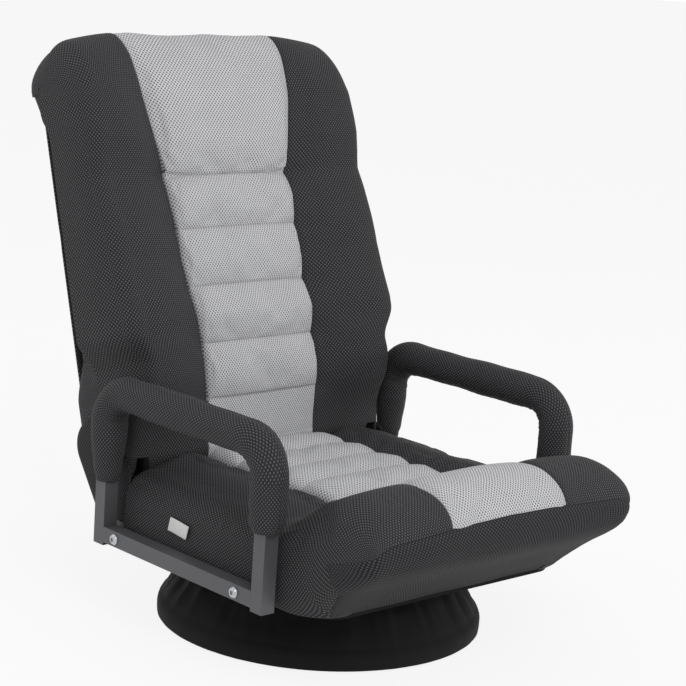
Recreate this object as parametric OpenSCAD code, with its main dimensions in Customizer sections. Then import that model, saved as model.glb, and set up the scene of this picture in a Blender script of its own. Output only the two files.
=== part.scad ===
// Floor gaming chair: padded seat and ratchet back on a round swivelling base, with two armrests.
// Units are millimetres. The origin is the centre of the base on the floor, Z is up, and the chair
// faces -Y. Left is the side at -X.

/* [Floor base] */
// Outer radius of the base under its fabric cover
base_r = 210; // [195:5:230]
// Diameter of the steel tube of the floor ring
ring_tube_d = 22; // [16:1:26]
// Height of the rubber strip below the ring
foot_h = 4; // [3:0.5:8]
// Width of the rubber strip
strip_w = 12; // [8:1:16]
// Diameter of the spoke tubes
spoke_d = 16; // [12:1:18]
// Number of spokes between ring and hub
spoke_count = 4; // [3:1:8]
// Rise of the spokes from the ring, in degrees
spoke_rise = 50; // [35:1:60]
// Radius of the hub plate
hub_r = 90; // [82:1:100]
// Thickness of the hub plate
hub_t = 3; // [2:0.5:5]
// Height of the hub plate's top above the floor
hub_top = 84; // [74:1:110]
// Thickness of the stretched fabric cover
cover_t = 1.6; // [1:0.2:3]
// Radius of the opening at the top of the cover
cover_mouth_r = 112; // [110:1:125]

/* [Swivel] */
// Side of the square swivel plates
swivel_w = 150; // [136:2:154]
// Thickness of each swivel plate
swivel_t = 3; // [2:0.5:4]
// Diameter of the bearing balls
ball_d = 7; // [6:0.5:9]
// Number of bearing balls
ball_count = 20; // [12:1:26]
// Radius of the ball race
race_r = 52; // [40:1:55]
// Depth of the race groove in each plate
race_depth = 1; // [0.5:0.1:1.2]
// Diameter of the centre pivot
pivot_d = 14; // [10:1:20]
// Distance of the swivel bolts from the centre, along X and along Y
swivel_bolt_pitch = 55; // [50:1:60]

/* [Seat] */
// Distance from the swivel axis to the front seam of the seat
seat_front = 322; // [300:2:340]
// Half width of the seat over its side bolsters
seat_half_w = 226; // [216:1:229]
// Height of the seat's sewn seams above its underside
seat_h = 106; // [96:1:120]
// Extra height of the front roll over the seat
roll_h = 52; // [36:1:70]
// Distance from the swivel axis to the valley behind the front roll
roll_back = 122; // [110:1:140]
// Depth of the curved face of the front roll
roll_nose = 54; // [40:1:70]
// Half width of the grey centre panel
panel_half_w = 98; // [80:1:115]
// Number of cushions between the channels of the seat
seat_channels = 4; // [2:1:6]
// Puff of the cushions over their sewn channels
puff = 9; // [4:0.5:14]
// Thickness of the bottom board
board_t = 8; // [5:0.5:8]
// Distance of the bottom board's side inside the seat's side
board_inset = 30; // [26:1:46]
// Distance from the swivel axis to the front edge of the bottom board
board_front = 228; // [200:1:240]

/* [Frame] */
// Side of the square tube of seat frame and arms
tube = 20; // [18:1:22]
// Distance of a side rail's centre inside the seat's side
rail_inset = 14; // [13:1:20]
// Diameter of the tube of the front hoop
hoop_d = 16; // [12:1:18]
// Width of the elastic straps
strap_w = 40; // [25:1:50]
// Thickness of the elastic straps
strap_t = 1.6; // [1:0.2:2]

/* [Back] */
// Distance from the swivel axis back to the hinge line
hinge_y = 212; // [205:1:230]
// Height of the hinge line above the seat's underside
hinge_rise = 108.6; // [100:1:118]
// Lean of the back from the upright in the photographed position, in degrees
back_lean = 17; // [8:1:25]
// Length of the back above the hinge line
back_len = 530; // [515:5:560]
// Distance of the back's side inside the seat's side, between the armrests
back_inset = 12; // [10:1:16]
// Distance of the back's side outside the seat's side, above the armrests
back_flare = 11; // [0:1:18]
// Radius of the rounded lower end of the back about the hinge line
back_roll_r = 82; // [70:1:86]
// Depth of the headrest in front of the frame
head_depth = 96; // [80:1:110]
// Diameter of the tube of the back frame
back_tube = 20; // [16:1:22]
// Height of the side bolsters of the back over the sewn seams
side_crest = 32; // [10:1:40]
// How far in the front edges of the back start to round off
back_edge = 34; // [24:1:50]
// Thickness of the rear panel
rear_t = 6; // [4:0.5:8]

/* [Hinge] */
// Thickness of the toothed plate
gear_t = 5; // [4:0.5:6]
// Thickness of a housing plate
housing_t = 2.5; // [2:0.5:3]
// Radius of the housing round the hinge pin
housing_r = 26; // [24:1:27]
// Diameter of the hinge pin
pin_d = 8; // [6:1:10]
// Angle between two positions of the ratchet, in degrees
notch_step = 13.5; // [10:0.5:18]
// Number of positions of the ratchet
notch_count = 6; // [3:1:8]

/* [Armrests] */
// Distance of an armrest's centre plane outside the seat's side
arm_offset = 18; // [17:1:30]
// Distance from the swivel axis forward to the front face of an armrest
arm_front = 178; // [165:1:190]
// Distance from the swivel axis back to the rear face of an armrest
arm_rear = 152; // [145:1:156]
// Height of the top tube's centre above the seat's underside
arm_h = 204; // [190:1:230]
// Radius of the bends of the arm tube
arm_bend = 42; // [36:1:60]
// Diameter of the foam sleeve
pad_d = 46; // [40:1:46]
// Height of the front end of the sleeve above the seat's underside
pad_front_end = 103; // [80:1:120]
// Height of the rear end of the sleeve above the seat's underside
pad_rear_end = 86; // [70:1:120]
// Diameter of the arm bolts
arm_bolt_d = 8; // [6:1:10]
// Distance from the swivel axis forward to the front arm bolt
arm_bolt_front = 128; // [100:1:135]
// Distance from the swivel axis back to the rear arm bolt
arm_bolt_rear = 108; // [90:1:115]

/* [Hidden] */
$fn = 64;

// Clearances
seam_gap = 0.3;
running = 0.08;
slip = 0.3;
crease_gap = 2.5;

// Heights of the swivel
race_gap = ball_d + 0.4 - 2 * race_depth;
lower_plate_z = hub_top;
upper_plate_z = lower_plate_z + swivel_t + race_gap;
seat_z = upper_plate_z + swivel_t;
ball_z = lower_plate_z + swivel_t + race_gap / 2;

// Floor ring
ring_r = base_r - cover_t - 0.2 - ring_tube_d / 2;
ring_z = foot_h + ring_tube_d / 2;

// Colours
steel = "dimgray";
zinc = "gainsboro";
black_mesh = [0.16, 0.16, 0.17];
grey_mesh = [0.74, 0.74, 0.75];

// Heights above the seat's underside
rail_z = board_t + 0.6;
under_z = rail_z + tube + strap_t + 0.1 + seam_gap;
post_end_z = rail_z - 2;
plug_flange = 2.2;

// Places across the chair
rail_x = seat_half_w - rail_inset;
board_half_w = seat_half_w - board_inset;
back_low_w = seat_half_w - back_inset;
back_top_w = seat_half_w + back_flare;
arm_x = seat_half_w + arm_offset;

// Places along Y
seat_rear = hinge_y - back_roll_r - crease_gap;
frame_front = -arm_front + tube;
frame_rear = arm_rear - 2;

// Ratchet
rail_in = rail_x - tube / 2;
hinge_x = rail_in - housing_t - slip - gear_t / 2;
pin_head = 2.5;
pin_len = gear_t + 2 * slip + 2 * housing_t;
housing_y = 136;

// Back frame in the back's own axes: X across, -Y to the front, Z along the back
frame_n = -9;
cushion_n = frame_n + back_tube / 2 + strap_t + 0.1 + seam_gap;
rear_n = frame_n - back_tube / 2 - 2;
frame_top_s = back_len - 50;
wrap_s = back_len - 96;
frame_foot_s = 33;
inner_r = 38;
lid_r = 34;

function smooth(t) = t * t * (3 - 2 * t);
function clamp01(t) = min(1, max(0, t));
function mix(a, b, t) = a + (b - a) * t;

// Height of a sewn cushion between two channels, for t from 0 at one channel to 1 at the next
function bulge(t) = pow(max(0, sin(180 * t)), 0.55);
bulge_steps = [0.07, 0.2, 0.4, 0.6, 0.8, 0.93, 1];

// How far a padded edge keeps its thickness at distance x, from x0 to its outer limit x1
function edge(x, x0, x1) = x <= x0 ? 1 : pow(max(0, 1 - pow((x - x0) / (x1 - x0), 3)), 1 / 3);

// Closed padded solid between an outer and an inner skin on one grid of rows and columns
module padded(outer, inner, rows, cols) {
    w = cols + 1;
    n = (rows + 1) * w;
    points = concat(
        [for (i = [0 : rows]) for (j = [0 : cols]) outer(i, j)],
        [for (i = [0 : rows]) for (j = [0 : cols]) inner(i, j)]
    );
    skin = [for (i = [0 : rows - 1]) for (j = [0 : cols - 1])
        let (a = i * w + j, b = a + 1, c = a + w, d = c + 1)
        each [[a, c, b], [b, c, d], [n + a, n + b, n + c], [n + b, n + d, n + c]]];
    ends = [for (j = [0 : cols - 1])
        let (a = j, b = j + 1, c = rows * w + j, d = c + 1)
        each [[a, b, n + a], [b, n + b, n + a], [c, n + c, d], [d, n + c, n + d]]];
    sides = [for (i = [0 : rows - 1])
        let (a = i * w, b = a + w, c = a + cols, d = c + w)
        each [[a, n + a, b], [b, n + a, n + b], [c, d, n + c], [d, n + d, n + c]]];
    polyhedron(points = points, faces = concat(skin, ends, sides), convexity = 6);
}

// Profile in Y and Z, extruded along X from x0 to x1
module along_x(x0, x1) {
    translate([x0, 0, 0])
        rotate([90, 0, 90])
            linear_extrude(x1 - x0)
                children();
}

// Cylinder along X from x0 to x1
module rod_x(x0, x1, d) {
    translate([x0, 0, 0])
        rotate([0, 90, 0])
            cylinder(d = d, h = x1 - x0);
}

// Cylinder between two points
module rod(a, b, d) {
    v = b - a;
    translate(a)
        rotate([0, acos(v[2] / norm(v)), atan2(v[1], v[0])])
            cylinder(d = d, h = norm(v));
}

// Flat slab with round corners
module round_slab(x0, x1, y0, y1, r, h) {
    linear_extrude(h) {
        translate([x0 + r, y0])
            square([x1 - x0 - 2 * r, y1 - y0]);
        translate([x0, y0 + r])
            square([x1 - x0, y1 - y0 - 2 * r]);
        for (x = [x0 + r, x1 - r])
            for (y = [y0 + r, y1 - r])
                translate([x, y])
                    circle(r);
    }
}

// Outline of two discs joined by their outer tangents
module link_2d(p, pr, q, qr) {
    d = norm(q - p);
    a = atan2(q[1] - p[1], q[0] - p[0]);
    b = acos((pr - qr) / d);
    translate(p)
        circle(pr);
    translate(q)
        circle(qr);
    polygon([
        p + pr * [cos(a + b), sin(a + b)],
        p + pr * [cos(a - b), sin(a - b)],
        q + qr * [cos(a - b), sin(a - b)],
        q + qr * [cos(a + b), sin(a + b)]
    ]);
}

// Ring sector in the plane of its children, between two radii and two angles under 180 apart
module sector_2d(r0, r1, a0, a1) {
    far = r1 * 1.6;
    mid = (a0 + a1) / 2;
    intersection() {
        difference() {
            circle(r1);
            circle(r0);
        }
        polygon([[0, 0], far * [cos(a0), sin(a0)], far * [cos(mid), sin(mid)],
            far * [cos(a1), sin(a1)]]);
    }
}

// Places children made above the seat's underside
module on_seat() {
    translate([0, 0, seat_z])
        children();
}

// Places children made in the back's own axes
module on_back() {
    translate([0, hinge_y, seat_z + hinge_rise])
        rotate([-back_lean, 0, 0])
            children();
}

// Repeats children at the right side
module right_side() {
    mirror([1, 0, 0])
        children();
}

// Both sides as one group
module both_sides() {
    children();
    right_side()
        children();
}

// Base

module ring_body(d) {
    translate([0, 0, ring_z])
        rotate_extrude()
            translate([ring_r, 0])
                circle(d = d);
}

// Rubber strip all round the underside of the floor ring
module floor_strip() {
    color("black")
        difference() {
            rotate_extrude()
                translate([ring_r - strip_w / 2, 0])
                    square([strip_w, foot_h + 1.5]);
            ring_body(ring_tube_d + 0.02);
        }
}

module floor_ring() {
    color(steel)
        ring_body(ring_tube_d);
}

spoke_z = hub_top - hub_t - spoke_d / 2 - 1;
spoke_bend = 30;

// One spoke in the plane of X and Z: flat under the hub, then down a bend to the ring
module spoke() {
    bend_drop = spoke_bend * (1 - cos(spoke_rise));
    run = (spoke_z - bend_drop - ring_z) / tan(spoke_rise);
    bend_end = ring_r - run;
    bend_start = bend_end - spoke_bend * sin(spoke_rise);
    lap = 1.5;
    down = [cos(spoke_rise), 0, -sin(spoke_rise)];
    rod([spoke_d, 0, spoke_z], [bend_start + lap, 0, spoke_z], spoke_d);
    translate([bend_start, 0, spoke_z - spoke_bend])
        rotate([90, 0, 0])
            rotate([0, 0, 90 - spoke_rise])
                rotate_extrude(angle = spoke_rise)
                    translate([spoke_bend, 0])
                        circle(d = spoke_d + 0.4);
    rod([bend_end, 0, spoke_z - bend_drop] - lap * down, [ring_r, 0, ring_z], spoke_d);
}

module base_spokes() {
    color(steel)
        difference() {
            union() {
                for (k = [0 : spoke_count - 1])
                    rotate([0, 0, 360 * k / spoke_count])
                        spoke();
                translate([0, 0, spoke_z - spoke_d / 2 - 1])
                    cylinder(r = spoke_d * 1.8, h = spoke_d + 2);
            }
            ring_body(ring_tube_d + 0.1);
        }
}

pivot_flange_r = pivot_d / 2 + 9;
lower_bolt_d = 6;

// Four holes or shanks at the corners of the swivel's bolt pattern
module at_swivel_bolts() {
    for (x = [-1, 1])
        for (y = [-1, 1])
            translate([x * swivel_bolt_pitch, y * swivel_bolt_pitch, 0])
                children();
}

module hub_plate() {
    color(steel)
        difference() {
            translate([0, 0, hub_top - hub_t])
                cylinder(r = hub_r, h = hub_t);
            translate([0, 0, hub_top - hub_t - 1])
                cylinder(r = pivot_flange_r + 1, h = hub_t + 2);
            translate([0, 0, hub_top - hub_t - 1])
                at_swivel_bolts()
                    cylinder(d = lower_bolt_d + 0.6, h = hub_t + 2);
        }
}

// The cover's half section: skirt over the ring, steep shoulder, and a crown drawn in to the mouth
module base_cover() {
    shoulder_r = ring_r - 27;
    shoulder_z = hub_top - 10;
    wrap = ring_tube_d / 2 + 0.4;
    fold = [0, 15, 30, 48];
    low = ring_tube_d / 2 + cover_t + 0.2;
    climb = [ring_r, ring_z] + low * [cos(48), sin(48)];
    outer = concat(
        [[base_r, 2.4]],
        [for (a = fold) [ring_r + low * cos(a), ring_z + low * sin(a)]],
        [[mix(climb[0], shoulder_r, 0.5) + 4, mix(climb[1], shoulder_z, 0.5) + 4],
            [shoulder_r, shoulder_z], [shoulder_r - 14, shoulder_z + 7],
            [shoulder_r - 30, hub_top - 1.2], [cover_mouth_r, hub_top + 1]]
    );
    inner = concat(
        [[ring_r + wrap, 2.4]],
        [for (a = fold) [ring_r + wrap * cos(a), ring_z + wrap * sin(a)]],
        [for (k = [5 : 8]) outer[k] - [cover_t, cover_t]],
        [[cover_mouth_r, hub_top + 1 - cover_t]]
    );
    color([0.07, 0.07, 0.07])
        rotate_extrude($fn = 96)
            polygon(concat(outer, [for (k = [len(inner) - 1 : -1 : 0]) inner[k]]));
}

// Swivel

module race() {
    translate([0, 0, ball_z])
        rotate_extrude()
            translate([race_r, 0])
                circle(d = ball_d + 0.4);
}

module swivel_plate(z, hole_d) {
    difference() {
        translate([0, 0, z])
            round_slab(-swivel_w / 2, swivel_w / 2, -swivel_w / 2, swivel_w / 2, 12, swivel_t);
        translate([0, 0, z - 1])
            cylinder(d = pivot_d + 2 * running, h = swivel_t + 2);
        translate([0, 0, z - 1])
            at_swivel_bolts()
                cylinder(d = hole_d, h = swivel_t + 2);
        race();
    }
}

module swivel_lower_plate() {
    color(zinc)
        swivel_plate(lower_plate_z, lower_bolt_d + 0.6);
}

module swivel_upper_plate() {
    color(zinc)
        swivel_plate(upper_plate_z, lower_bolt_d + 0.6);
}

module swivel_balls() {
    color("white")
        for (k = [0 : ball_count - 1])
            rotate([0, 0, 360 * k / ball_count])
                translate([race_r, 0, ball_z])
                    sphere(d = ball_d, $fn = 24);
}

module ball_cage() {
    color("ivory")
        difference() {
            translate([0, 0, ball_z])
                rotate_extrude()
                    translate([race_r, 0])
                        square([ball_d + 5, 1.6], center = true);
            for (k = [0 : ball_count - 1])
                rotate([0, 0, 360 * k / ball_count])
                    translate([race_r, 0, ball_z - 2])
                        cylinder(d = ball_d + 0.5, h = 4);
        }
}

module swivel_pivot() {
    color(zinc) {
        translate([0, 0, lower_plate_z - 2.5])
            cylinder(r = pivot_flange_r, h = 2.5);
        translate([0, 0, lower_plate_z - 1])
            cylinder(d = pivot_d, h = seat_z - lower_plate_z + 2);
        translate([0, 0, seat_z + slip])
            cylinder(r = pivot_flange_r, h = 2.5);
    }
}

module lower_plate_bolts() {
    head_z = lower_plate_z + swivel_t;
    color(zinc)
        at_swivel_bolts() {
            translate([0, 0, head_z])
                cylinder(d = 11, h = 2.2);
            translate([0, 0, hub_top - hub_t - 8])
                cylinder(d = lower_bolt_d, h = head_z - hub_top + hub_t + 8.5);
            translate([0, 0, hub_top - hub_t - 5])
                cylinder(d = 11, h = 5, $fn = 6);
        }
}

// The heads sit under the upper plate; the shanks pass the board and the cross tubes
module upper_plate_bolts() {
    top_z = seat_z + rail_z + tube;
    color(zinc)
        at_swivel_bolts() {
            translate([0, 0, upper_plate_z - 2])
                cylinder(d = 11, h = 2);
            translate([0, 0, upper_plate_z - 0.5])
                cylinder(d = lower_bolt_d, h = top_z - upper_plate_z + 1.5);
        }
}

// Seat frame

module bottom_board() {
    color([0.1, 0.1, 0.1])
        on_seat()
            difference() {
                round_slab(-board_half_w, board_half_w, -board_front, frame_rear + 14, 30, board_t);
                translate([0, 0, -1])
                    cylinder(r = pivot_flange_r + 6, h = board_t + 2);
                translate([0, 0, -1])
                    at_swivel_bolts()
                        cylinder(d = lower_bolt_d + 0.6, h = board_t + 2);
            }
}

hoop_x = rail_in - hoop_d / 2 - 6;
hoop_front = seat_front - 37;
hoop_z = seat_h - 4;

module seat_frame() {
    rail_mid = rail_z + tube / 2;
    rear_tube_y = housing_y - 11.5 - tube / 2;
    color(steel)
        on_seat()
            difference() {
                union() {
                    for (s = [-1, 1]) {
                        translate([s * rail_x - tube / 2, frame_front, rail_z])
                            cube([tube, frame_rear - frame_front, tube]);
                        rod([s * hoop_x, hoop_foot[0], hoop_foot[1]],
                            [s * hoop_x, -hoop_front, hoop_z], hoop_d);
                        translate([s * hoop_x, -hoop_front, hoop_z])
                            sphere(d = hoop_d + 1.4);
                    }
                    rod([-hoop_x, -hoop_front, hoop_z], [hoop_x, -hoop_front, hoop_z], hoop_d);
                    for (y = [frame_front, -swivel_bolt_pitch - tube / 2,
                            swivel_bolt_pitch - tube / 2, rear_tube_y - tube / 2])
                        translate([-rail_x, y, rail_z])
                            cube([2 * rail_x, tube, tube]);
                }
                translate([0, 0, rail_z - 1])
                    at_swivel_bolts()
                        cylinder(d = lower_bolt_d + 0.6, h = tube + 2);
                for (y = [-arm_bolt_front, arm_bolt_rear])
                    translate([0, y, rail_mid]) {
                        rod_x(-rail_x - tube, -rail_in + 1, arm_bolt_d + 0.6);
                        rod_x(rail_in - 1, rail_x + tube, arm_bolt_d + 0.6);
                    }
            }
}

seat_strap_y = [-105, -22, 22, 92];

module seat_straps() {
    color("black")
        on_seat()
            for (y = seat_strap_y)
                translate([-rail_x, y - strap_w / 2, rail_z + tube + 0.1])
                    cube([2 * rail_x, strap_w, strap_t]);
}

// Seat cushions: rows run from the front seam back to the hinge, columns run outwards

roll_top_y = -seat_front + roll_nose;
nose_z = seat_h + 13;
gusset_top_z = nose_z - 5.7;

// Seam height of the seat behind the front roll
function roll_slope(y) = seat_h + roll_h * (1 + cos(180 * (y - roll_top_y) / (-roll_back - roll_top_y))) / 2;

nose_angles = [0, 10, 22, 36, 52, 70, 90];
slope_steps = [0.17, 0.34, 0.5, 0.66, 0.83, 1];
function nose_point(a) =
    [roll_top_y - roll_nose * cos(a), nose_z + (seat_h + roll_h - nose_z) * sin(a)];

// Rows of the roll as [y, height, puff]
roll_rows = concat(
    [for (a = nose_angles) concat(nose_point(a), [0])],
    [for (t = slope_steps)
        let (y = mix(roll_top_y, -roll_back, t))
        [y, roll_slope(y), 0]]
);

// Drop of the seat's rear edge, clear of the back when it stands upright
seat_lip = 6;
seat_pitch = (seat_rear + roll_back) / seat_channels;
seat_rows = concat(
    roll_rows,
    [for (k = [0 : seat_channels - 1]) for (t = bulge_steps)
        [-roll_back + (k + t) * seat_pitch, seat_h - (k + t == seat_channels ? seat_lip : 0), bulge(t)]]
);

// Underside of the cushions: flat over the straps, then up over the front hoop
hoop_foot = [frame_front + 12, rail_z + tube / 2];
hoop_run = -hoop_front - hoop_foot[0];
hoop_climb = hoop_z - hoop_foot[1];
hoop_over = hoop_d / 2 * norm([hoop_run, hoop_climb]) / abs(hoop_run) + 3;
function cushion_under(y) = min(
    hoop_z + hoop_d / 2 + 2.4,
    max(under_z, hoop_foot[1] + hoop_over + (y - hoop_foot[0]) * hoop_climb / hoop_run)
);

// Inner face of the front gusset
gusset_foot_y = -board_front - 3;
function gusset_in(y) = mix(board_t + 1, gusset_top_z,
    clamp01((gusset_foot_y - y) / (seat_front + gusset_foot_y)));

// Half width of the seat in plan, with round front corners
front_corner = 20;
function seat_w(y) =
    let (d = max(0, -seat_front + front_corner - y))
    seat_half_w - front_corner + sqrt(max(0, front_corner * front_corner - d * d));

module seat_panel() {
    cols = 8;
    rows = len(seat_rows) - 1;
    side = function (j) 2 * j / cols - 1;
    x = function (j) (panel_half_w - seam_gap / 2) * side(j);
    outer = function (i, j)
        let (r = seat_rows[i], e = 1 - pow(abs(side(j)), 5))
        [x(j), r[0], r[1] + (puff * r[2] + 2) * e + 3 * (1 - side(j) * side(j))];
    inner = function (i, j) [x(j), seat_rows[i][0], min(seat_rows[i][1] - 3, cushion_under(seat_rows[i][0]))];
    color(grey_mesh)
        on_seat()
            padded(outer, inner, rows, cols);
}

bolster_rows = concat(
    roll_rows,
    [for (k = [1 : seat_channels]) for (t = [0.5, 1])
        [-roll_back + (k - 1 + t) * seat_pitch, seat_h, 0]]
);
bolster_cols = [0, 0.12, 0.3, 0.5, 0.7, 0.84, 0.92];
bolster_edge_cols = [0, 0.3, 0.55, 0.78, 0.93, 1];

module seat_bolster() {
    rows = len(bolster_rows) - 1;
    cols = len(bolster_cols) + len(bolster_edge_cols) - 1;
    inset = 52;
    x = function (i, j)
        let (w = seat_w(bolster_rows[i][0]), turn = w - inset * 0.5)
        j < len(bolster_cols) ? mix(panel_half_w + seam_gap / 2, turn - 3, bolster_cols[j] / 0.92) :
        mix(turn, w, bolster_edge_cols[j - len(bolster_cols)]);
    low = function (i, j)
        let (y = bolster_rows[i][0], top = bolster_rows[i][1])
        j < len(bolster_cols) || y > frame_front - 1.3 * tube ? min(top - 3, cushion_under(y)) :
        min(top - 3, gusset_in(y) + 7);
    spine = function (i, j) mix(low(i, j), bolster_rows[i][1], 0.4);
    keep = function (i, j) let (w = seat_w(bolster_rows[i][0])) max(0.07, edge(x(i, j), w - inset, w));
    crest = function (i, j)
        let (t = clamp01((x(i, j) - panel_half_w) / (seat_half_w - panel_half_w)))
        7 * sin(180 * clamp01(t * 1.5)) * smooth(clamp01(1 + (bolster_rows[i][0] + roll_back) / 60)) - 5 * t;
    outer = function (i, j)
        let (m = spine(i, j))
        [x(i, j), bolster_rows[i][0], mix(m, bolster_rows[i][1] + crest(i, j), keep(i, j))];
    inner = function (i, j)
        let (m = spine(i, j))
        [x(i, j), bolster_rows[i][0], mix(m, low(i, j), keep(i, j)) - 0.2];
    color(black_mesh)
        on_seat()
            padded(outer, inner, rows, cols);
}

module right_seat_bolster() {
    seat_bolster();
}

module left_seat_bolster() {
    right_side()
        seat_bolster();
}

// Black panel from the front seam down to the bottom board
module seat_front_gusset() {
    rows = 8;
    cols = 22;
    t = function (i) i / rows;
    y = function (i) mix(-seat_front + 1, gusset_foot_y, t(i));
    x = function (i, j) (seat_w(y(i)) - 4) * (2 * j / cols - 1);
    lift = function (i, j) 14 * pow(abs(x(i, j)) / seat_half_w, 5) * sin(180 * min(1, t(i) * 0.55));
    z = function (i) gusset_in(y(i)) - seam_gap;
    fall = [gusset_foot_y + seat_front, board_t - gusset_top_z];
    out = [fall[1], -fall[0]] / norm(fall);
    swell = function (i) 5 + 9 * sin(180 * clamp01(t(i)));
    inner = function (i, j) [x(i, j), y(i), z(i) + lift(i, j)];
    outer = function (i, j)
        let (e = 1 - pow(abs(2 * j / cols - 1), 10) * 0.45)
        [x(i, j), y(i) + out[0] * swell(i) * e, z(i) + lift(i, j) + out[1] * swell(i) * e];
    color(black_mesh)
        on_seat()
            padded(inner, outer, rows, cols);
}

strip_t = 4;
ring_in = housing_r + 2.2;
ring_out = ring_in + strip_t;

// Rear panel of the seat: from the bottom board up to the hinge line and round it
module seat_rear_panel() {
    foot = [frame_rear + 6, board_t + slip];
    pivot = [hinge_y, hinge_rise];
    reach = pivot - foot;
    a = atan2(reach[1], reach[0]);
    b = asin(ring_out / norm(reach));
    normal = a - b - 90;
    touch_out = pivot + ring_out * [cos(normal), sin(normal)];
    touch_in = pivot + ring_in * [cos(normal), sin(normal)];
    color(black_mesh)
        on_seat() {
            along_x(-board_half_w - 6, board_half_w + 6) {
                polygon([foot, touch_out, touch_in, foot + (touch_in - touch_out)]);
                translate(pivot)
                    sector_2d(ring_in, ring_out, normal, -14);
            }
            // Between the ratchets the panel reaches further round
            along_x(8 - hinge_x, hinge_x - 8)
                translate(pivot)
                    sector_2d(ring_in, ring_out, -24, 5);
        }
}

cheek_in = back_low_w + 2;
cheek_t = arm_x - pad_d / 2 - slip - cheek_in;

// Side panel between the seat bolster and the hinge
module hinge_cheek() {
    y0 = seat_rear + seam_gap;
    pivot = [hinge_y, hinge_rise];
    color(black_mesh)
        on_seat()
            along_x(cheek_in, cheek_in + cheek_t)
                difference() {
                    union() {
                        link_2d(pivot, lid_r + 3, [y0 + 40, under_z + 22], 36);
                        translate([y0, rail_z + tube + 1.2])
                            square([44, seat_h - rail_z - tube - 14]);
                    }
                    translate([y0 - 200, -100])
                        square([200, 400]);
                    translate([y0 - 1, rail_z + tube + 1 - 100])
                        square([200, 100]);
                }
}

module right_hinge_cheek() {
    hinge_cheek();
}

module left_hinge_cheek() {
    right_side()
        hinge_cheek();
}

// Blank fabric label sewn to the left side of the seat
module side_label() {
    color("white")
        on_seat()
            translate([-seat_half_w - 1.2, 14, 54])
                rotate([0, 90, 0])
                    translate([-9, -18, 0])
                        cube([18, 36, 0.8]);
}

// Armrests

arm_mid_front = -arm_front + tube / 2;
arm_mid_rear = arm_rear - tube / 2;

// Quarter bend in the plane of Y and Z, about the point p, from one angle to the next
module arm_corner(p, start) {
    translate([arm_x, p[0], p[1]])
        rotate([0, 90, 0])
            rotate([0, 0, start])
                rotate_extrude(angle = 90)
                    translate([arm_bend, 0])
                        children();
}

// Bent path of the arm: front post from z0, over the top, down to z1 at the rear
module arm_path(z0, z1) {
    yf = arm_mid_front;
    yr = arm_mid_rear;
    corner_z = arm_h - arm_bend;
    translate([arm_x, yf, z0])
        linear_extrude(corner_z - z0)
            children();
    translate([arm_x, yr, z1])
        linear_extrude(corner_z - z1)
            children();
    translate([arm_x, yf + arm_bend, arm_h])
        rotate([-90, 0, 0])
            linear_extrude(yr - yf - 2 * arm_bend)
                children();
    arm_corner([yf + arm_bend, corner_z], 180)
        children();
    arm_corner([yr - arm_bend, corner_z], 90)
        children();
}

plug_depth = 12;
tube_wall = 1.6;

module arm_hoop() {
    color(steel)
        on_seat()
            difference() {
                arm_path(post_end_z, post_end_z)
                    square(tube, center = true);
                for (y = [arm_mid_front, arm_mid_rear])
                    translate([arm_x - tube / 2 + tube_wall, y - tube / 2 + tube_wall, post_end_z - 1])
                        cube([tube - 2 * tube_wall, tube - 2 * tube_wall, plug_depth + 1]);
            }
}

module right_arm_hoop() {
    arm_hoop();
}

module left_arm_hoop() {
    right_side()
        arm_hoop();
}

module arm_rail() {
    color(steel)
        on_seat()
            difference() {
                translate([arm_x - tube / 2, -arm_front + tube, rail_z])
                    cube([tube, arm_rear + arm_front - 2 * tube, tube]);
                for (y = [-arm_bolt_front, arm_bolt_rear])
                    translate([0, y, rail_z + tube / 2])
                        rod_x(arm_x - tube, arm_x + tube, arm_bolt_d + 0.6);
            }
}

module right_arm_rail() {
    arm_rail();
}

module left_arm_rail() {
    right_side()
        arm_rail();
}

module arm_pad() {
    color(black_mesh)
        on_seat()
            difference() {
                arm_path(pad_front_end, pad_rear_end)
                    circle(d = pad_d, $fn = 32);
                arm_path(pad_front_end - 1, pad_rear_end - 1)
                    square(tube + 2 * slip, center = true);
            }
}

module right_arm_pad() {
    arm_pad();
}

module left_arm_pad() {
    right_side()
        arm_pad();
}

arm_face = arm_x + tube / 2;

// Round head with a hexagon socket, shank through both rails
module arm_bolt() {
    difference() {
        union() {
            translate([arm_face, 0, 0])
                rotate([0, 90, 0])
                    rotate_extrude()
                        polygon([[0, 0], [7, 0], [7, 1.4], [5.6, 3.4], [4, 4.2], [0, 4.2]]);
            rod_x(rail_in + 2, arm_face + 0.5, arm_bolt_d);
        }
        translate([arm_face + 1.6, 0, 0])
            rotate([0, 90, 0])
                cylinder(d = 5.8, h = 4, $fn = 6);
    }
}

module at_arm_bolts() {
    for (y = [-arm_bolt_front, arm_bolt_rear])
        translate([0, y, rail_z + tube / 2])
            children();
}

module arm_bolts() {
    color(zinc)
        on_seat()
            both_sides()
                at_arm_bolts()
                    arm_bolt();
}

spacer_d = 17;

module arm_spacers() {
    color("black")
        on_seat()
            both_sides()
                at_arm_bolts()
                    difference() {
                        rod_x(rail_x + tube / 2, arm_x - tube / 2, spacer_d);
                        rod_x(rail_x, arm_x, arm_bolt_d + 0.6);
                    }
}

module arm_end_plugs() {
    stub = tube - 2 * tube_wall - 2 * slip;
    color(steel)
        on_seat()
            both_sides()
                for (y = [arm_mid_front, arm_mid_rear])
                    translate([arm_x, y, post_end_z]) {
                        translate([-tube / 2, -tube / 2, -plug_flange])
                            cube([tube, tube, plug_flange]);
                        translate([-stub / 2, -stub / 2, -0.5])
                            cube([stub, stub, plug_depth - 2]);
                    }
}

// Ratchet hinge

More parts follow.
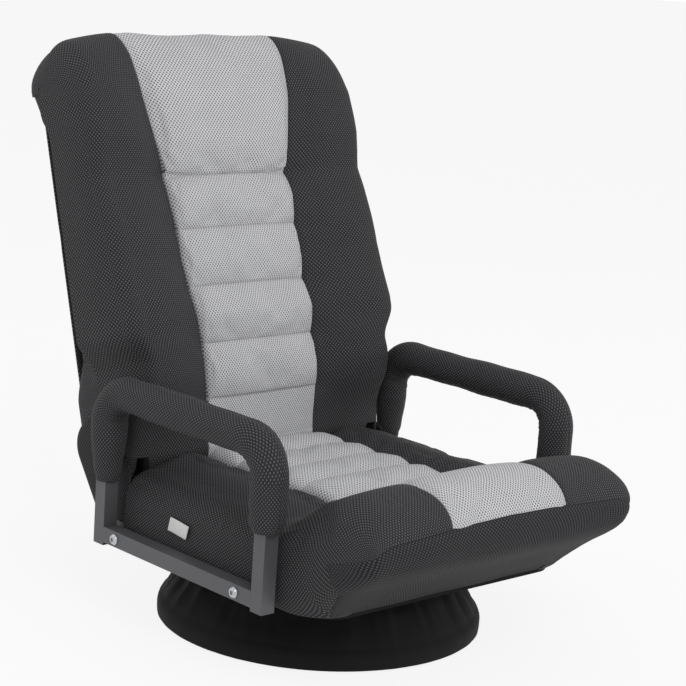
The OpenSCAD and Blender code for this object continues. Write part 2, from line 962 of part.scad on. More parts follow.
// Housing of two plates riveted to a block, welded to the end of the side rail
module ratchet_housing() {
    pivot = [hinge_y, hinge_rise];
    foot = [housing_y, rail_z + tube / 2];
    half = gear_t / 2 + slip;
    block = mix(foot, pivot, 0.38);
    color(steel)
        on_seat()
            difference() {
                union() {
                    along_x(hinge_x - half - housing_t, hinge_x - half)
                        link_2d(pivot, housing_r, foot, 10);
                    along_x(hinge_x + half, hinge_x + half + housing_t)
                        link_2d(pivot, housing_r, foot, 10);
                    along_x(hinge_x - half, hinge_x + half)
                        link_2d(block, 11, foot, 10);
                }
                translate([0, pivot[0], pivot[1]])
                    rod_x(hinge_x - 20, hinge_x + 20, pin_d + 2 * running);
            }
}

module right_ratchet_housing() {
    ratchet_housing();
}

module left_ratchet_housing() {
    right_side()
        ratchet_housing();
}

module hinge_pins() {
    half = pin_len / 2;
    color(zinc)
        on_seat()
            both_sides()
                translate([0, hinge_y, hinge_rise]) {
                    rod_x(hinge_x - half - slip - 0.5, hinge_x + half + slip + 0.5, pin_d);
                    rod_x(hinge_x - half - slip - pin_head, hinge_x - half - slip, pin_d + 6);
                    rod_x(hinge_x + half + slip, hinge_x + half + slip + pin_head, pin_d + 6);
                }
}

rivet_s = [44, 58];
rivet_d = 5;

// Toothed plate: a disc with ratchet notches on its rim and a tongue up into the frame tube
module ratchet_plate() {
    gear_r = housing_r - 5;
    tongue = [-frame_n, rivet_s[1] + 8];
    tooth = 3;
    pitch = notch_step;
    first = 204;
    color(zinc)
        on_back()
            difference() {
                along_x(hinge_x - gear_t / 2, hinge_x + gear_t / 2)
                    difference() {
                        union() {
                            circle(gear_r);
                            rotate(atan2(tongue[1], tongue[0]))
                                polygon([[0, -13], [norm(tongue) - 6, -8], [norm(tongue), -5],
                                    [norm(tongue), 5], [norm(tongue) - 6, 8], [0, 13]]);
                        }
                        for (k = [0 : notch_count - 1])
                            rotate(first + k * pitch)
                                polygon([[gear_r + 2, 0], [gear_r - tooth, 0.3],
                                    [gear_r + 2, 4]]);
                    }
                rod_x(hinge_x - 10, hinge_x + 10, pin_d + 2 * running);
                for (s = rivet_s)
                    translate([0, -frame_n, s])
                        rod_x(hinge_x - 10, hinge_x + 10, rivet_d + 0.2);
            }
}

module right_ratchet_plate() {
    ratchet_plate();
}

module left_ratchet_plate() {
    right_side()
        ratchet_plate();
}

module ratchet_rivets() {
    half = back_tube / 2;
    color(zinc)
        on_back()
            both_sides()
                for (s = rivet_s)
                    translate([0, -frame_n, s]) {
                        rod_x(hinge_x - half - 0.8, hinge_x + half + 0.8, rivet_d);
                        rod_x(hinge_x - half - 1.6, hinge_x - half, rivet_d + 3);
                        rod_x(hinge_x + half, hinge_x + half + 1.6, rivet_d + 3);
                    }
}

// Back frame

back_bend = 45;

module frame_bend(side) {
    translate([side * (hinge_x - back_bend), -frame_n, frame_top_s - back_bend])
        rotate([90, 0, 0])
            rotate([0, 0, side > 0 ? 0 : 90])
                rotate_extrude(angle = 90)
                    translate([back_bend, 0])
                        circle(d = back_tube);
}

module back_frame() {
    mid = -frame_n;
    color(steel)
        on_back()
            difference() {
                union() {
                    for (side = [-1, 1]) {
                        translate([side * hinge_x, mid, frame_foot_s])
                            cylinder(d = back_tube, h = frame_top_s - back_bend - frame_foot_s);
                        frame_bend(side);
                    }
                    translate([0, mid, frame_top_s])
                        rod_x(back_bend - hinge_x, hinge_x - back_bend, back_tube);
                    for (s = [90, 300])
                        translate([0, mid, s])
                            rod_x(-hinge_x, hinge_x, back_tube - 4);
                }
                for (side = [-1, 1]) {
                    translate([side * hinge_x - gear_t / 2 - 0.1, mid - 20, frame_foot_s - 1])
                        cube([gear_t + 0.2, 40, rivet_s[1] + 16 - frame_foot_s]);
                    for (s = rivet_s)
                        translate([side * hinge_x, mid, s])
                            rod_x(-20, 20, rivet_d + 0.2);
                }
            }
}

back_strap_s = [135, 190, 245, 345, 400];

module back_straps() {
    front = -frame_n - back_tube / 2 - 0.1;
    color("black")
        on_back()
            for (s = back_strap_s)
                translate([-hinge_x, front - strap_t, s - strap_w / 2])
                    cube([2 * hinge_x, strap_t, strap_w]);
}

// Back cushions. A point of a section is [n, s]: n to the front of the frame, s along the back.

// Depth of the sewn seams along the back
seam_table = [[-20, 79], [2, 83.5], [42, 95], [113, 99], [188, 88], [264, 89], [335, 82]];
lumbar_seams = [-17, 42, 113, 188, 264, 335];
// Half width of the grey panel along the back
grey_table = [[-80, 90], [42, 93], [113, 93], [188, 97], [264, 100], [335, 103], [390, 116],
    [440, 125], [back_len, 133]];
function seam_n(s) = lookup(s, seam_table);
function grey_w(s) = lookup(s, grey_table);
function back_w(s) = mix(back_low_w, back_top_w, smooth(clamp01((s - 95) / 45)));
// Share of the side bolsters' height along the back
crest_table = [[10, 0], [40, 0.5], [66, 0.95], [130, 1], [230, 1], [300, 0.78], [350, 0.38], [400, 0.32],
    [450, 0.4], [480, 0.42], [510, 0.3], [back_len, 0.1]];
function rear_w(s) = mix(back_low_w, back_top_w, smooth(clamp01((s - 135) / 115)));
function turn(r, a) = r * [cos(a), sin(a)];

// Angles of the rounded lower end, below the front of the back
roll_top_a = -12;
roll_foot_a = -63;
foot_steps = [1, 0.75, 0.5, 0.25];

// Rows of the lumbar panel as [outer point, inner point, puff]
lumbar_rows = concat(
    [for (t = foot_steps)
        let (a = mix(roll_top_a, roll_foot_a, t))
        [turn(back_roll_r, a), turn(inner_r, a), 0]],
    [for (k = [0 : len(lumbar_seams) - 2]) for (t = concat(k == 0 ? [0] : [], bulge_steps))
        let (s = mix(lumbar_seams[k], lumbar_seams[k + 1], t), a = mix(roll_top_a, 84, clamp01(t * 1.05)))
        [[seam_n(s), s], k == 0 && t < 0.95 ? turn(inner_r, a) : [cushion_n, max(s, inner_r + 1)],
            bulge(t) * (k == 0 ? 0.3 : 1)]]
);

module lumbar_panel() {
    cols = 8;
    rows = len(lumbar_rows) - 1;
    side = function (j) 2 * j / cols - 1;
    outer = function (i, j)
        let (p = lumbar_rows[i][0], e = 1 - pow(abs(side(j)), 5),
            n = p[0] + puff * lumbar_rows[i][2] * e + 2 * lumbar_rows[i][2] * (1 - side(j) * side(j)))
        [(grey_w(p[1]) - seam_gap / 2) * side(j), -n, p[1]];
    inner = function (i, j)
        let (p = lumbar_rows[i][0], q = lumbar_rows[i][1])
        [(grey_w(p[1]) - seam_gap / 2) * side(j), -q[0], q[1]];
    color(grey_mesh)
        on_back()
            padded(inner, outer, rows, cols);
}

head_s = 385;
head_mid = 38;
wrap_n = rear_n - rear_t - 6;
wrap_in = rear_n - rear_t - 2;

// Rows over the head as [outer point, inner point, spine point]
head_front = [for (a = [0, 14, 28, 42, 56, 72, 90])
    [[head_mid + (head_depth - head_mid) * cos(a), head_s + (back_len - head_s) * sin(a)],
        [cushion_n, mix(head_s, frame_top_s + back_tube / 2 + 4, sin(a))],
        [24, mix(head_s, frame_top_s - 2, sin(a))]]];
head_rear = [for (a = [30, 60, 90])
    [[head_mid + (wrap_n - head_mid) * sin(a), back_len - 62 + 62 * cos(a)],
        [mix(cushion_n, wrap_in, (1 - cos(a))), frame_top_s + back_tube / 2 + 5 - 8 * (1 - cos(a))],
        [mix(24, 10, sin(a)), frame_top_s - 2 - 8 * sin(a)]]];
head_wrap = [for (t = [0.5, 1])
    [[wrap_n, mix(back_len - 62, wrap_s, t)], [wrap_in, mix(frame_top_s + 7, wrap_s, t)],
        [10, mix(frame_top_s - 10, wrap_s + 4, t)]]];
head_seam = 336;
head_rise = [for (t = [0, 0.1, 0.35, 0.65])
    let (s = mix(head_seam, head_s, t))
    [[mix(seam_n(335), head_depth, pow(sin(90 * t), 0.7)), s], [cushion_n, s], [24, s]]];
head_rows = concat(head_rise, head_front, head_rear, head_wrap);

module head_panel() {
    cols = 8;
    rows = len(head_rows) - 1;
    side = function (j) 2 * j / cols - 1;
    x = function (i, j) (grey_w(head_rows[i][0][1]) - seam_gap / 2) * side(j);
    outer = function (i, j)
        let (p = head_rows[i][0], c = i > 0 && i < 9 ? 4 * (1 - pow(side(j), 4)) : 0)
        [x(i, j), -p[0] - c, p[1]];
    inner = function (i, j) [x(i, j), -head_rows[i][1][0], head_rows[i][1][1]];
    color(grey_mesh)
        on_back()
            padded(inner, outer, rows, cols);
}

// Rows of a back bolster: rounded lower end, front, then over the head
bolster_front = concat(
    [for (s = [2, 14]) [[seam_n(s), s], turn(inner_r, s * 3), [52, s]]],
    [for (s = [42, 70, 94, 108, 122, 140, 188, 226, 264, 300, 335, 360]) [[s > 335 ? 92 : seam_n(s), s],
        [cushion_n, s], [24, s]]]
);
back_bolster_rows = concat(
    [for (t = foot_steps) [undef, undef, undef, t]],
    bolster_front,
    head_front, head_rear, head_wrap
);
side_cols = [0, 0.1, 0.25, 0.45, 0.62, 0.76, 0.84, 0.92, 1];
rim_cols = [0, 0.3, 0.55, 0.78, 0.93, 1];

module back_bolster() {
    rows = len(back_bolster_rows) - 1;
    cols = len(side_cols) + len(rim_cols) - 1;
    tube_edge = hinge_x + back_tube / 2 + 1;
    low = len(foot_steps);
    s_of = function (i) i < low ? -40 : back_bolster_rows[i][0][1];
    x = function (i, j)
        let (w = back_w(s_of(i)), g = grey_w(s_of(i)) + seam_gap / 2)
        j < len(side_cols) ? mix(g, tube_edge, side_cols[j]) :
        mix(tube_edge + 1.5, w, rim_cols[j - len(side_cols)]);
    // The lower end stops at the seat's lip outside the ratchet arms
    foot_a = function (i, j)
        mix(roll_top_a, x(i, j) < hinge_x - 13 ? roll_foot_a : roll_top_a - 3, back_bolster_rows[i][3]);
    outer_p = function (i, j)
        i < low ? turn(back_roll_r, foot_a(i, j)) : back_bolster_rows[i][0];
    inner_p = function (i, j)
        i < low ? turn(inner_r, foot_a(i, j)) :
        j >= len(side_cols) && s_of(i) > 30 && i < low + len(bolster_front) ? [rear_n, s_of(i)] :
        back_bolster_rows[i][1];
    spine = function (i, j)
        i < low ? turn(60, foot_a(i, j)) : back_bolster_rows[i][2];
    // Behind the frame tube the bolsters widen later, and turn in more sharply low down
    rear_edge = function (i, j) i < low || j < len(side_cols) ? 56 :
        mix(18, 56, smooth(clamp01((s_of(i) - 90) / 60)));
    front_edge = function (i) i < low + len(bolster_front) + 3 ? back_edge : 56;
    keep_in = function (i, j) let (w = rear_w(s_of(i))) max(0.08, edge(x(i, j), w - rear_edge(i, j), w));
    keep_out = function (i, j) let (w = back_w(s_of(i))) max(0.08, edge(x(i, j), w - front_edge(i), w));
    crest = function (i, j)
        let (t = clamp01((x(i, j) - grey_w(s_of(i))) / (back_w(s_of(i)) - grey_w(s_of(i)))))
        i < low + 2 || i > low + len(bolster_front) + 5 ? 0 :
        side_crest * lookup(s_of(i), crest_table) * sin(90 * clamp01(t / 0.75));
    droop = function (i, j)
        let (t = clamp01((x(i, j) - 130) / (back_top_w - 130)))
        s_of(i) > head_s + 60 && i < rows - 3 ? 9 * t * t : 0;
    outer = function (i, j)
        let (p = mix(spine(i, j), outer_p(i, j) + [crest(i, j), -droop(i, j)], keep_out(i, j)))
        [x(i, j), -p[0], p[1]];
    inner = function (i, j)
        let (p = mix(spine(i, j), inner_p(i, j), keep_in(i, j)))
        [x(i, j), -p[0], p[1]];
    color(black_mesh)
        on_back()
            padded(inner, outer, rows, cols);
}

module right_back_bolster() {
    back_bolster();
}

module left_back_bolster() {
    right_side()
        back_bolster();
}

// Rear panel, with a lid that follows the hinge line
module rear_panel() {
    lid_out = lid_r + 4;
    low_s = sqrt(lid_out * lid_out - pow(rear_n - rear_t, 2));
    lid_a = atan2(low_s, -rear_n + rear_t);
    top_s = frame_top_s - 4;
    half = tube_limit();
    color(black_mesh)
        on_back()
            difference() {
                along_x(-half, half) {
                    translate([-rear_n + 0.3, low_s])
                        square([rear_t - 0.3, top_s - low_s]);
                    sector_2d(lid_r, lid_out, 8, lid_a + 2);
                }
            }
}

function tube_limit() = board_half_w + 12;

zip_s = 276;
zip_half = 150;

module rear_zip() {
    y0 = -rear_n + rear_t;
    color("black")
        on_back()
            translate([-zip_half, y0, zip_s - 6])
                cube([2 * zip_half, 1, 12]);
}

// Slider on the zip with its pull tab hanging down
module zip_pull() {
    y0 = -rear_n + rear_t + 1;
    color(zinc)
        on_back()
            translate([zip_half - 18, y0, zip_s]) {
                translate([-4, 0, -5])
                    cube([8, 3, 10]);
                difference() {
                    translate([-3, 3, -30])
                        cube([6, 1.4, 28]);
                    translate([0, 2, -24])
                        rotate([-90, 0, 0])
                            cylinder(d = 3, h = 4);
                }
            }
}

floor_strip();
floor_ring();
base_spokes();
hub_plate();
base_cover();
swivel_lower_plate();
swivel_balls();
ball_cage();
swivel_pivot();
lower_plate_bolts();
swivel_upper_plate();
upper_plate_bolts();
bottom_board();
seat_frame();
seat_straps();
seat_panel();
left_seat_bolster();
right_seat_bolster();
seat_front_gusset();
left_hinge_cheek();
right_hinge_cheek();
seat_rear_panel();
side_label();
left_arm_hoop();
right_arm_hoop();
left_arm_rail();
right_arm_rail();
left_arm_pad();
right_arm_pad();
arm_bolts();
arm_spacers();
arm_end_plugs();
left_ratchet_housing();
right_ratchet_housing();
hinge_pins();
back_frame();
left_ratchet_plate();
right_ratchet_plate();
ratchet_rivets();
back_straps();
lumbar_panel();
head_panel();
left_back_bolster();
right_back_bolster();
rear_panel();
rear_zip();
zip_pull();
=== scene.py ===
# %% [markdown]
# # A floor gaming chair around its engineering frame
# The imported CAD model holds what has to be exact: tubes, bolts, the ratchet hinge, the ball swivel, and
# the space of each cushion. Here steel parts keep their CAD shape and get a finish, and every soft part is
# replaced by sewn cloth in the space of its plain solid.

# %% Load the frame
import math

import bpy
import numpy as np
from mathutils import Matrix, Vector


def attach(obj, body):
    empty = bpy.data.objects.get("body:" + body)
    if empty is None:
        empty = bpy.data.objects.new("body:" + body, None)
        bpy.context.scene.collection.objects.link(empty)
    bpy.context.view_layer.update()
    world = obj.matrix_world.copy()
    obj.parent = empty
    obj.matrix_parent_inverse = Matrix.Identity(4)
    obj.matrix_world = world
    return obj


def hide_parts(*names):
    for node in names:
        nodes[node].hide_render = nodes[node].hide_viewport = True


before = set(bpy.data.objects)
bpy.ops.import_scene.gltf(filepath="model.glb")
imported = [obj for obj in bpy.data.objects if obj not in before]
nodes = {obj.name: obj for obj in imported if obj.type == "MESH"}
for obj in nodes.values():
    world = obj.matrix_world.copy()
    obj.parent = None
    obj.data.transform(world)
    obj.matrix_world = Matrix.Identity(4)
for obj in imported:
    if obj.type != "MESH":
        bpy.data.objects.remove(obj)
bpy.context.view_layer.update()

# %% [markdown]
# ## Sizes that the cloth shares with the frame
# Patterns start from a few heights and lengths of the frame, in millimetres. Only the last step turns them
# to metres.

# %% Shared sizes, in millimetres
SEAT_Z = 95.4
HINGE_Y = 212.0
HINGE_Z = SEAT_Z + 108.6
LEAN = math.radians(17.0)
# Radii round the hinge: the seat's rear strip, the cheek, the back's lid and its lower roll.
STRIP_R = 32.2
CHEEK_R = 34.0
LID_R = 38.0
ROLL_R = 82.0
SEAT_FRONT = -322.0
SEAT_REAR = HINGE_Y - ROLL_R - 2.5
SEAM_Z = SEAT_Z + 106.0
NOSE_DEPTH = 54.0
ROLL_TOP = (SEAT_FRONT + NOSE_DEPTH, SEAT_Z + 158.0)
NOSE_Z = SEAT_Z + 119.0
ROLL_BACK = -122.0
PANEL_X = 98.0
SEAT_W = 226.0
BACK_LEN = 530.0
MM = 0.001


def step(t):
    """Smooth step of t from 0 to 1."""
    t = np.clip(t, 0.0, 1.0)
    return t * t * (3.0 - 2.0 * t)


def blend(a, b, t):
    return a + (b - a) * t


def curve(*points):
    """A function that runs straight from each (place, value) point to the next."""
    places, values = zip(*points)
    return lambda place: np.interp(place, places, values)


def stack(*parts):
    """Joins grids, spread to one size, to a grid of points."""
    return np.stack(np.broadcast_arrays(*parts), axis=-1)


def arc(centre, radius, start, end, count):
    """Points on a circle in a plane, between two angles in degrees."""
    a = np.radians(np.linspace(start, end, count))
    return np.array(centre) + radius * stack(np.cos(a), np.sin(a))


def run_length(line):
    """Distance along a line of points, at each of them."""
    return np.concatenate([[0], np.cumsum(np.linalg.norm(np.diff(line, axis=0), axis=1))])


def outward(line):
    """Unit normals along a line of points in a plane."""
    normal = np.stack([np.gradient(line[:, 1]), -np.gradient(line[:, 0])], axis=1)
    return normal / np.linalg.norm(normal, axis=1, keepdims=True)


def from_back(x, n, s):
    """A point of the back, n to its front and s along it, in the chair's own axes."""
    y = HINGE_Y + math.sin(LEAN) * s - math.cos(LEAN) * n
    z = HINGE_Z + math.cos(LEAN) * s + math.sin(LEAN) * n
    return stack(x, y, z)


# %% [markdown]
# ## A camera that stands where the photographer stood
# The camera was solved from the armrest tubes and the seams: about 2.6 m away, 43 degrees round to the
# side of the left armrest, a little above the seat, and rolled by almost 4 degrees. A long lens keeps the
# sides of the chair nearly parallel. A matrix is the safest way to give a camera a roll.

# %% Camera
PHOTO_PX = 686.0
FOCAL_PX = 2010.0
azimuth, elevation, roll = math.radians(-43.0), math.radians(11.4), math.radians(3.8)
away = Vector((
    math.sin(azimuth) * math.cos(elevation),
    -math.cos(azimuth) * math.cos(elevation),
    math.sin(elevation),
))
side = (-away).cross(Vector((0, 0, 1))).normalized()
top = side.cross(-away)
tilted_side = side * math.cos(roll) + top * math.sin(roll)
tilted_top = top * math.cos(roll) - side * math.sin(roll)
eye = Vector((0.012, 0.0, 0.366)) + away * 2.56

camera_data = bpy.data.cameras.new("photo_camera")
camera_data.sensor_width = 36.0
camera_data.lens = FOCAL_PX / PHOTO_PX * 36.0
camera_data.shift_y = -3.0 / PHOTO_PX
camera = bpy.data.objects.new("photo_camera", camera_data)
camera.matrix_world = Matrix((
    (tilted_side.x, tilted_top.x, away.x, eye.x),
    (tilted_side.y, tilted_top.y, away.y, eye.y),
    (tilted_side.z, tilted_top.z, away.z, eye.z),
    (0, 0, 0, 1),
))
bpy.context.scene.collection.objects.link(camera)
bpy.context.scene.camera = camera
print("camera at", [round(v, 3) for v in eye])

# %% [markdown]
# ## Shader maths written as sums
# This class holds one output socket of a node. Adding or multiplying two of them, or one and a number,
# adds the Math node for it, so a pattern reads like its formula. Other nodes come from `add_node`.


# %% Sockets as numbers
class Wire:
    """An output socket in a material, with arithmetic."""

    def __init__(self, tree, socket):
        self.tree = tree
        self.socket = socket

    def math(self, operation, *others):
        return add_node(self.tree, "Math", {"operation": operation},
                        dict(enumerate((self, *others))))

    def __add__(self, other):
        return self.math("ADD", other)

    def __sub__(self, other):
        return self.math("SUBTRACT", other)

    def __rsub__(self, other):
        return self * -1.0 + other

    def __mul__(self, other):
        return self.math("MULTIPLY", other)

    def ramp(self, low, high):
        """0 below low, 1 above high, smooth between."""
        return add_node(self.tree, "MapRange", {"interpolation_type": "SMOOTHSTEP"},
                        {"Value": self, "From Min": low, "From Max": high})


def add_node(tree, kind, settings=None, sockets=None, out=0):
    """Adds one node: settings first, then the value or link of each named or numbered socket."""
    node = tree.nodes.new("ShaderNode" + kind)
    for key, value in (settings or {}).items():
        setattr(node, key, value)
    for key, value in (sockets or {}).items():
        if isinstance(value, Wire):
            tree.links.new(value.socket, node.inputs[key])
        else:
            node.inputs[key].default_value = value
    return Wire(tree, node.outputs[out]) if len(node.outputs) else node


def mixed(tree, factor, colour_a, colour_b):
    """Colour mix. The socket numbers are those of the colour form of the Mix node."""
    return add_node(tree, "Mix", {"data_type": "RGBA"},
                    {0: factor, 6: colour_a, 7: colour_b}, out=2)


def new_material(name, **constants):
    """A material with one Principled shader; constants go straight on its sockets."""
    material = bpy.data.materials.new(name)
    material.use_nodes = True
    shader = material.node_tree.nodes["Principled BSDF"]
    for key, value in constants.items():
        shader.inputs[key.replace("_", " ")].default_value = value
    return material, material.node_tree, shader


def feed(tree, shader, **wires):
    for key, wire in wires.items():
        tree.links.new(wire.socket, shader.inputs[key.replace("_", " ")])


def srgb(*values):
    """A colour as it is read off a screen, 0 to 255, turned to the linear values that shaders use."""
    lin = [((v / 255 + 0.055) / 1.055) ** 2.4 if v > 10 else v / 255 / 12.92 for v in values]
    return (*lin, 1.0)


# %% Textures that the finishes share
def shaded(tree, factor, colour, low, high):
    """A colour that drifts between a darker and a lighter shade of itself."""
    shades = [[min(1.0, c * share) for c in colour[:3]] + [1.0] for share in (low, high)]
    return mixed(tree, factor, *shades)


def noise(tree, vector, scale, detail, roughness=0.5):
    return add_node(tree, "TexNoise", None,
                    {"Vector": vector, "Scale": scale, "Detail": detail, "Roughness": roughness})


def bumped(tree, strength, distance, height, **more):
    return add_node(tree, "Bump", None,
                    {"Strength": strength, "Distance": distance, "Height": height, **more})


def own_place(tree):
    """The object's own coordinates, in metres."""
    return add_node(tree, "TexCoord", out=3)


# %% [markdown]
# ## Spacer mesh, the cloth of the chair
# Spacer mesh is a thick knit with rows of small open cells. Two crossed cosines give staggered cells. They
# drive the colour, dark in the cell and light on the yarn, and a bump. The cloth carries its own millimetre
# grid as a mesh attribute, so the knit follows the sewing pattern.


# %% Spacer mesh material
MESH_PITCH = (4.4, 5.4)
OPEN_KNIT = (-0.52, -0.22)
BLACK_CELL = srgb(3, 3, 4)


def spacer_mesh(name, yarn, cell, open_share, bump=0.5, sheen=0.0):
    material, tree, shader = new_material(name, Roughness=0.75, Sheen_Weight=sheen,
                                          Sheen_Roughness=0.4, Specular_IOR_Level=0.25)
    grid = add_node(tree, "Attribute", {"attribute_name": "cloth_mm"}, out=1)
    across = add_node(tree, "SeparateXYZ", None, {0: grid})
    along = Wire(tree, across.socket.node.outputs[1])
    turns_u = (across * (2 * math.pi / MESH_PITCH[0])).math("COSINE")
    turns_v = (along * (2 * math.pi / MESH_PITCH[1])).math("COSINE")
    cells = (turns_u * turns_v).ramp(*open_share)
    drift = noise(tree, grid, 0.02, 3.0, 0.6)
    fuzz = noise(tree, grid, 0.9, 2.0, 0.7)
    worn = (drift - 0.5) * 0.5 + (fuzz - 0.5) * 0.35
    yarn_colour = shaded(tree, worn + 0.5, yarn, 0.82, 1.18)
    height = 1.0 - cells + fuzz * 0.25
    feed(tree, shader, Base_Color=mixed(tree, cells * 0.85, yarn_colour, cell),
         Normal=bumped(tree, bump, 0.0007, height))
    return material


black_mesh = spacer_mesh("black_spacer_mesh", srgb(91, 91, 94), BLACK_CELL, OPEN_KNIT, sheen=0.02)
# Front panel and hinge cheeks: a darker copy of the black mesh is painted shade there, with a flatter knit.
shade_painted_mesh = spacer_mesh("black_spacer_mesh_painted_shade", srgb(76, 76, 79), BLACK_CELL, OPEN_KNIT, bump=0.35)
grey_mesh = spacer_mesh("grey_spacer_mesh", srgb(208, 208, 210), srgb(84, 84, 87), (0.05, 0.5))


# %% [markdown]
# ## Plain cloths
# The base cover, the underside and the zip tape are closely woven, with a fine grain and a dull surface.
# The grain is read from the object's own coordinates, because CAD nodes have no cloth grid.


# %% Plain cloth, webbing and label materials
def plain_cloth(name, colour, thread, roughness=0.85, bump=0.35, sheen=0.05):
    material, tree, shader = new_material(name, Roughness=roughness, Sheen_Weight=sheen,
                                          Specular_IOR_Level=0.2)
    place = own_place(tree)
    weave = noise(tree, place, 1000.0 / thread, 2.0)
    cloudy = noise(tree, place, 14.0, 4.0)
    tone = (weave - 0.5) * 0.8 + (cloudy - 0.5) * 0.7
    feed(tree, shader, Base_Color=shaded(tree, tone + 0.5, colour, 0.6, 1.5),
         Normal=bumped(tree, bump, 0.0006, weave + cloudy * 0.5))
    return material


def webbing_cloth(name, colour):
    """Elastic webbing: ribs along the strap, which runs across the chair."""
    material, tree, shader = new_material(name, Roughness=0.8)
    ribs = add_node(tree, "TexWave", {"wave_type": "BANDS", "bands_direction": "Y"},
                    {"Vector": own_place(tree), "Scale": 130.0, "Distortion": 0.4, "Detail": 1.0})
    feed(tree, shader, Base_Color=shaded(tree, ribs, colour, 0.5, 1.0),
         Normal=bumped(tree, 0.4, 0.0004, ribs))
    return material


cover_cloth = plain_cloth("base_cover_cloth", srgb(22, 22, 22), 0.9, sheen=0.02)
under_cloth = plain_cloth("underside_felt", srgb(24, 24, 25), 1.6, roughness=0.95)
label_cloth = plain_cloth("label_ribbon", srgb(226, 226, 222), 0.5, bump=0.15)
tape_cloth = plain_cloth("zip_tape", srgb(20, 20, 21), 0.7)
webbing = webbing_cloth("elastic_webbing", srgb(34, 34, 35))

# %% [markdown]
# ## Hard finishes
# The arm frames are powder coated: slightly rough with a faint orange-peel. A Bevel node rounds the sharp
# CAD edges in the shading, which catches the light as on a real tube. Bolts are zinc plated.


# %% Powder coat, zinc, rubber and plastic
def hard_finish(name, colour, roughness, metallic=0.0, grain=900.0, bump=0.12):
    material, tree, shader = new_material(name, Metallic=metallic)
    place = own_place(tree)
    peel = noise(tree, place, grain, 2.0)
    patches = noise(tree, place, 22.0, 5.0)
    soft_edge = add_node(tree, "Bevel", {"samples": 4}, {"Radius": 0.0008})
    feed(tree, shader, Base_Color=shaded(tree, patches, colour, 0.82, 1.15),
         Normal=bumped(tree, bump, 0.0002, peel, Normal=soft_edge),
         Roughness=(patches - 0.5) * 0.12 + roughness)
    return material


arm_coat = hard_finish("grey_powder_coat", srgb(88, 88, 91), 0.42, metallic=0.25)
black_coat = hard_finish("black_enamel", srgb(26, 26, 27), 0.38)
zinc = hard_finish("zinc_plate", srgb(190, 192, 196), 0.34, metallic=1.0, grain=1500.0)
polished = hard_finish("ball_steel", srgb(205, 206, 208), 0.12, metallic=1.0)
rubber = hard_finish("floor_rubber", srgb(24, 24, 24), 0.8, bump=0.3, grain=600.0)
cage_nylon = hard_finish("cage_nylon", srgb(222, 220, 210), 0.55)
black_plastic = hard_finish("black_plastic", srgb(22, 22, 22), 0.5)

CAD_FINISH = (
    (rubber, "floor_strip"),
    (black_coat, "floor_ring base_spokes hub_plate seat_frame back_frame"),
    (black_coat, "left_ratchet_housing right_ratchet_housing"),
    (zinc, "swivel_lower_plate swivel_upper_plate swivel_pivot lower_plate_bolts upper_plate_bolts"),
    (zinc, "arm_bolts left_ratchet_plate right_ratchet_plate ratchet_rivets hinge_pins zip_pull"),
    (polished, "swivel_balls"),
    (cage_nylon, "ball_cage"),
    (under_cloth, "bottom_board"),
    (webbing, "seat_straps back_straps"),
    (arm_coat, "left_arm_hoop right_arm_hoop left_arm_rail right_arm_rail arm_end_plugs"),
    (black_plastic, "arm_spacers"),
    (tape_cloth, "rear_zip"),
)
for finish, names in CAD_FINISH:
    for node_name in names.split():
        for slot in nodes[node_name].material_slots:
            slot.material = finish
    print(finish.name, "on", names)

# %% [markdown]
# ## Sewing a cushion as a grid
# A cut panel of cloth is a grid. A cushion has an outer skin that is seen and an inner skin that lies on
# the frame, joined at the edges. Both come from one grid, so every seam stays where the pattern puts it.
# The distance along the outer skin is stored on the mesh, and the knit pattern reads it.


# %% Cloth grid to mesh
def arc_grid(points):
    """Distances across and along a panel, in millimetres. They are averaged over the rows and over the
    columns, so that the knit stays square to the seams and is never sheared."""
    across = np.linalg.norm(np.diff(points, axis=1), axis=2).mean(axis=0)
    along = np.linalg.norm(np.diff(points, axis=0), axis=2).mean(axis=1)
    return stack(np.concatenate([[0], np.cumsum(across)])[None, :],
                 np.concatenate([[0], np.cumsum(along)])[:, None], 0.0)


def new_piece(name, points, faces, material):
    """An object in the scene, from points in millimetres."""
    mesh = bpy.data.meshes.new(name)
    mesh.from_pydata((points * MM).tolist(), [], faces.tolist())
    mesh.materials.append(material)
    piece = bpy.data.objects.new(name, mesh)
    bpy.context.scene.collection.objects.link(piece)
    return piece


def shell(name, outer, inner, material, flip=False, cloth=None, cloth_inner=None):
    """Closed mesh between an outer and an inner grid of points."""
    rows, cols = outer.shape[:2]
    n = rows * cols
    index = np.arange(n).reshape(rows, cols)
    a, b = index[:-1, :-1].ravel(), index[:-1, 1:].ravel()
    c, d = index[1:, 1:].ravel(), index[1:, :-1].ravel()
    quads = [np.stack([a, b, c, d], 1), np.stack([d, c, b, a], 1) + n]
    rim = np.concatenate([index[0, :], index[1:, -1], index[-1, -2::-1], index[-2:0:-1, 0]])
    after = np.roll(rim, -1)
    quads.append(np.stack([after, rim, rim + n, after + n], 1))
    faces = np.concatenate(quads)
    if flip:
        faces = faces[:, ::-1]
    points = np.concatenate([outer.reshape(-1, 3), inner.reshape(-1, 3)])
    piece = new_piece(name, points, faces, material)
    piece.data.shade_smooth()
    grid = arc_grid(outer) if cloth is None else cloth
    grid_inner = grid if cloth_inner is None else cloth_inner
    stored = piece.data.attributes.new("cloth_mm", "FLOAT_VECTOR", "POINT")
    flat = np.concatenate([grid.reshape(-1, 3), grid_inner.reshape(-1, 3)])
    stored.data.foreach_set("vector", flat.astype(np.float32).ravel())
    return piece


def mirrored(points, sign):
    return points * np.array([sign, 1.0, 1.0])


def thin(points, thickness):
    """Inner skin of a sheet: each point moved back along the sheet's own normal."""
    normal = np.cross(np.gradient(points, axis=1), np.gradient(points, axis=0))
    size = np.linalg.norm(normal, axis=2, keepdims=True)
    return points - normal / np.maximum(size, 1e-9) * thickness


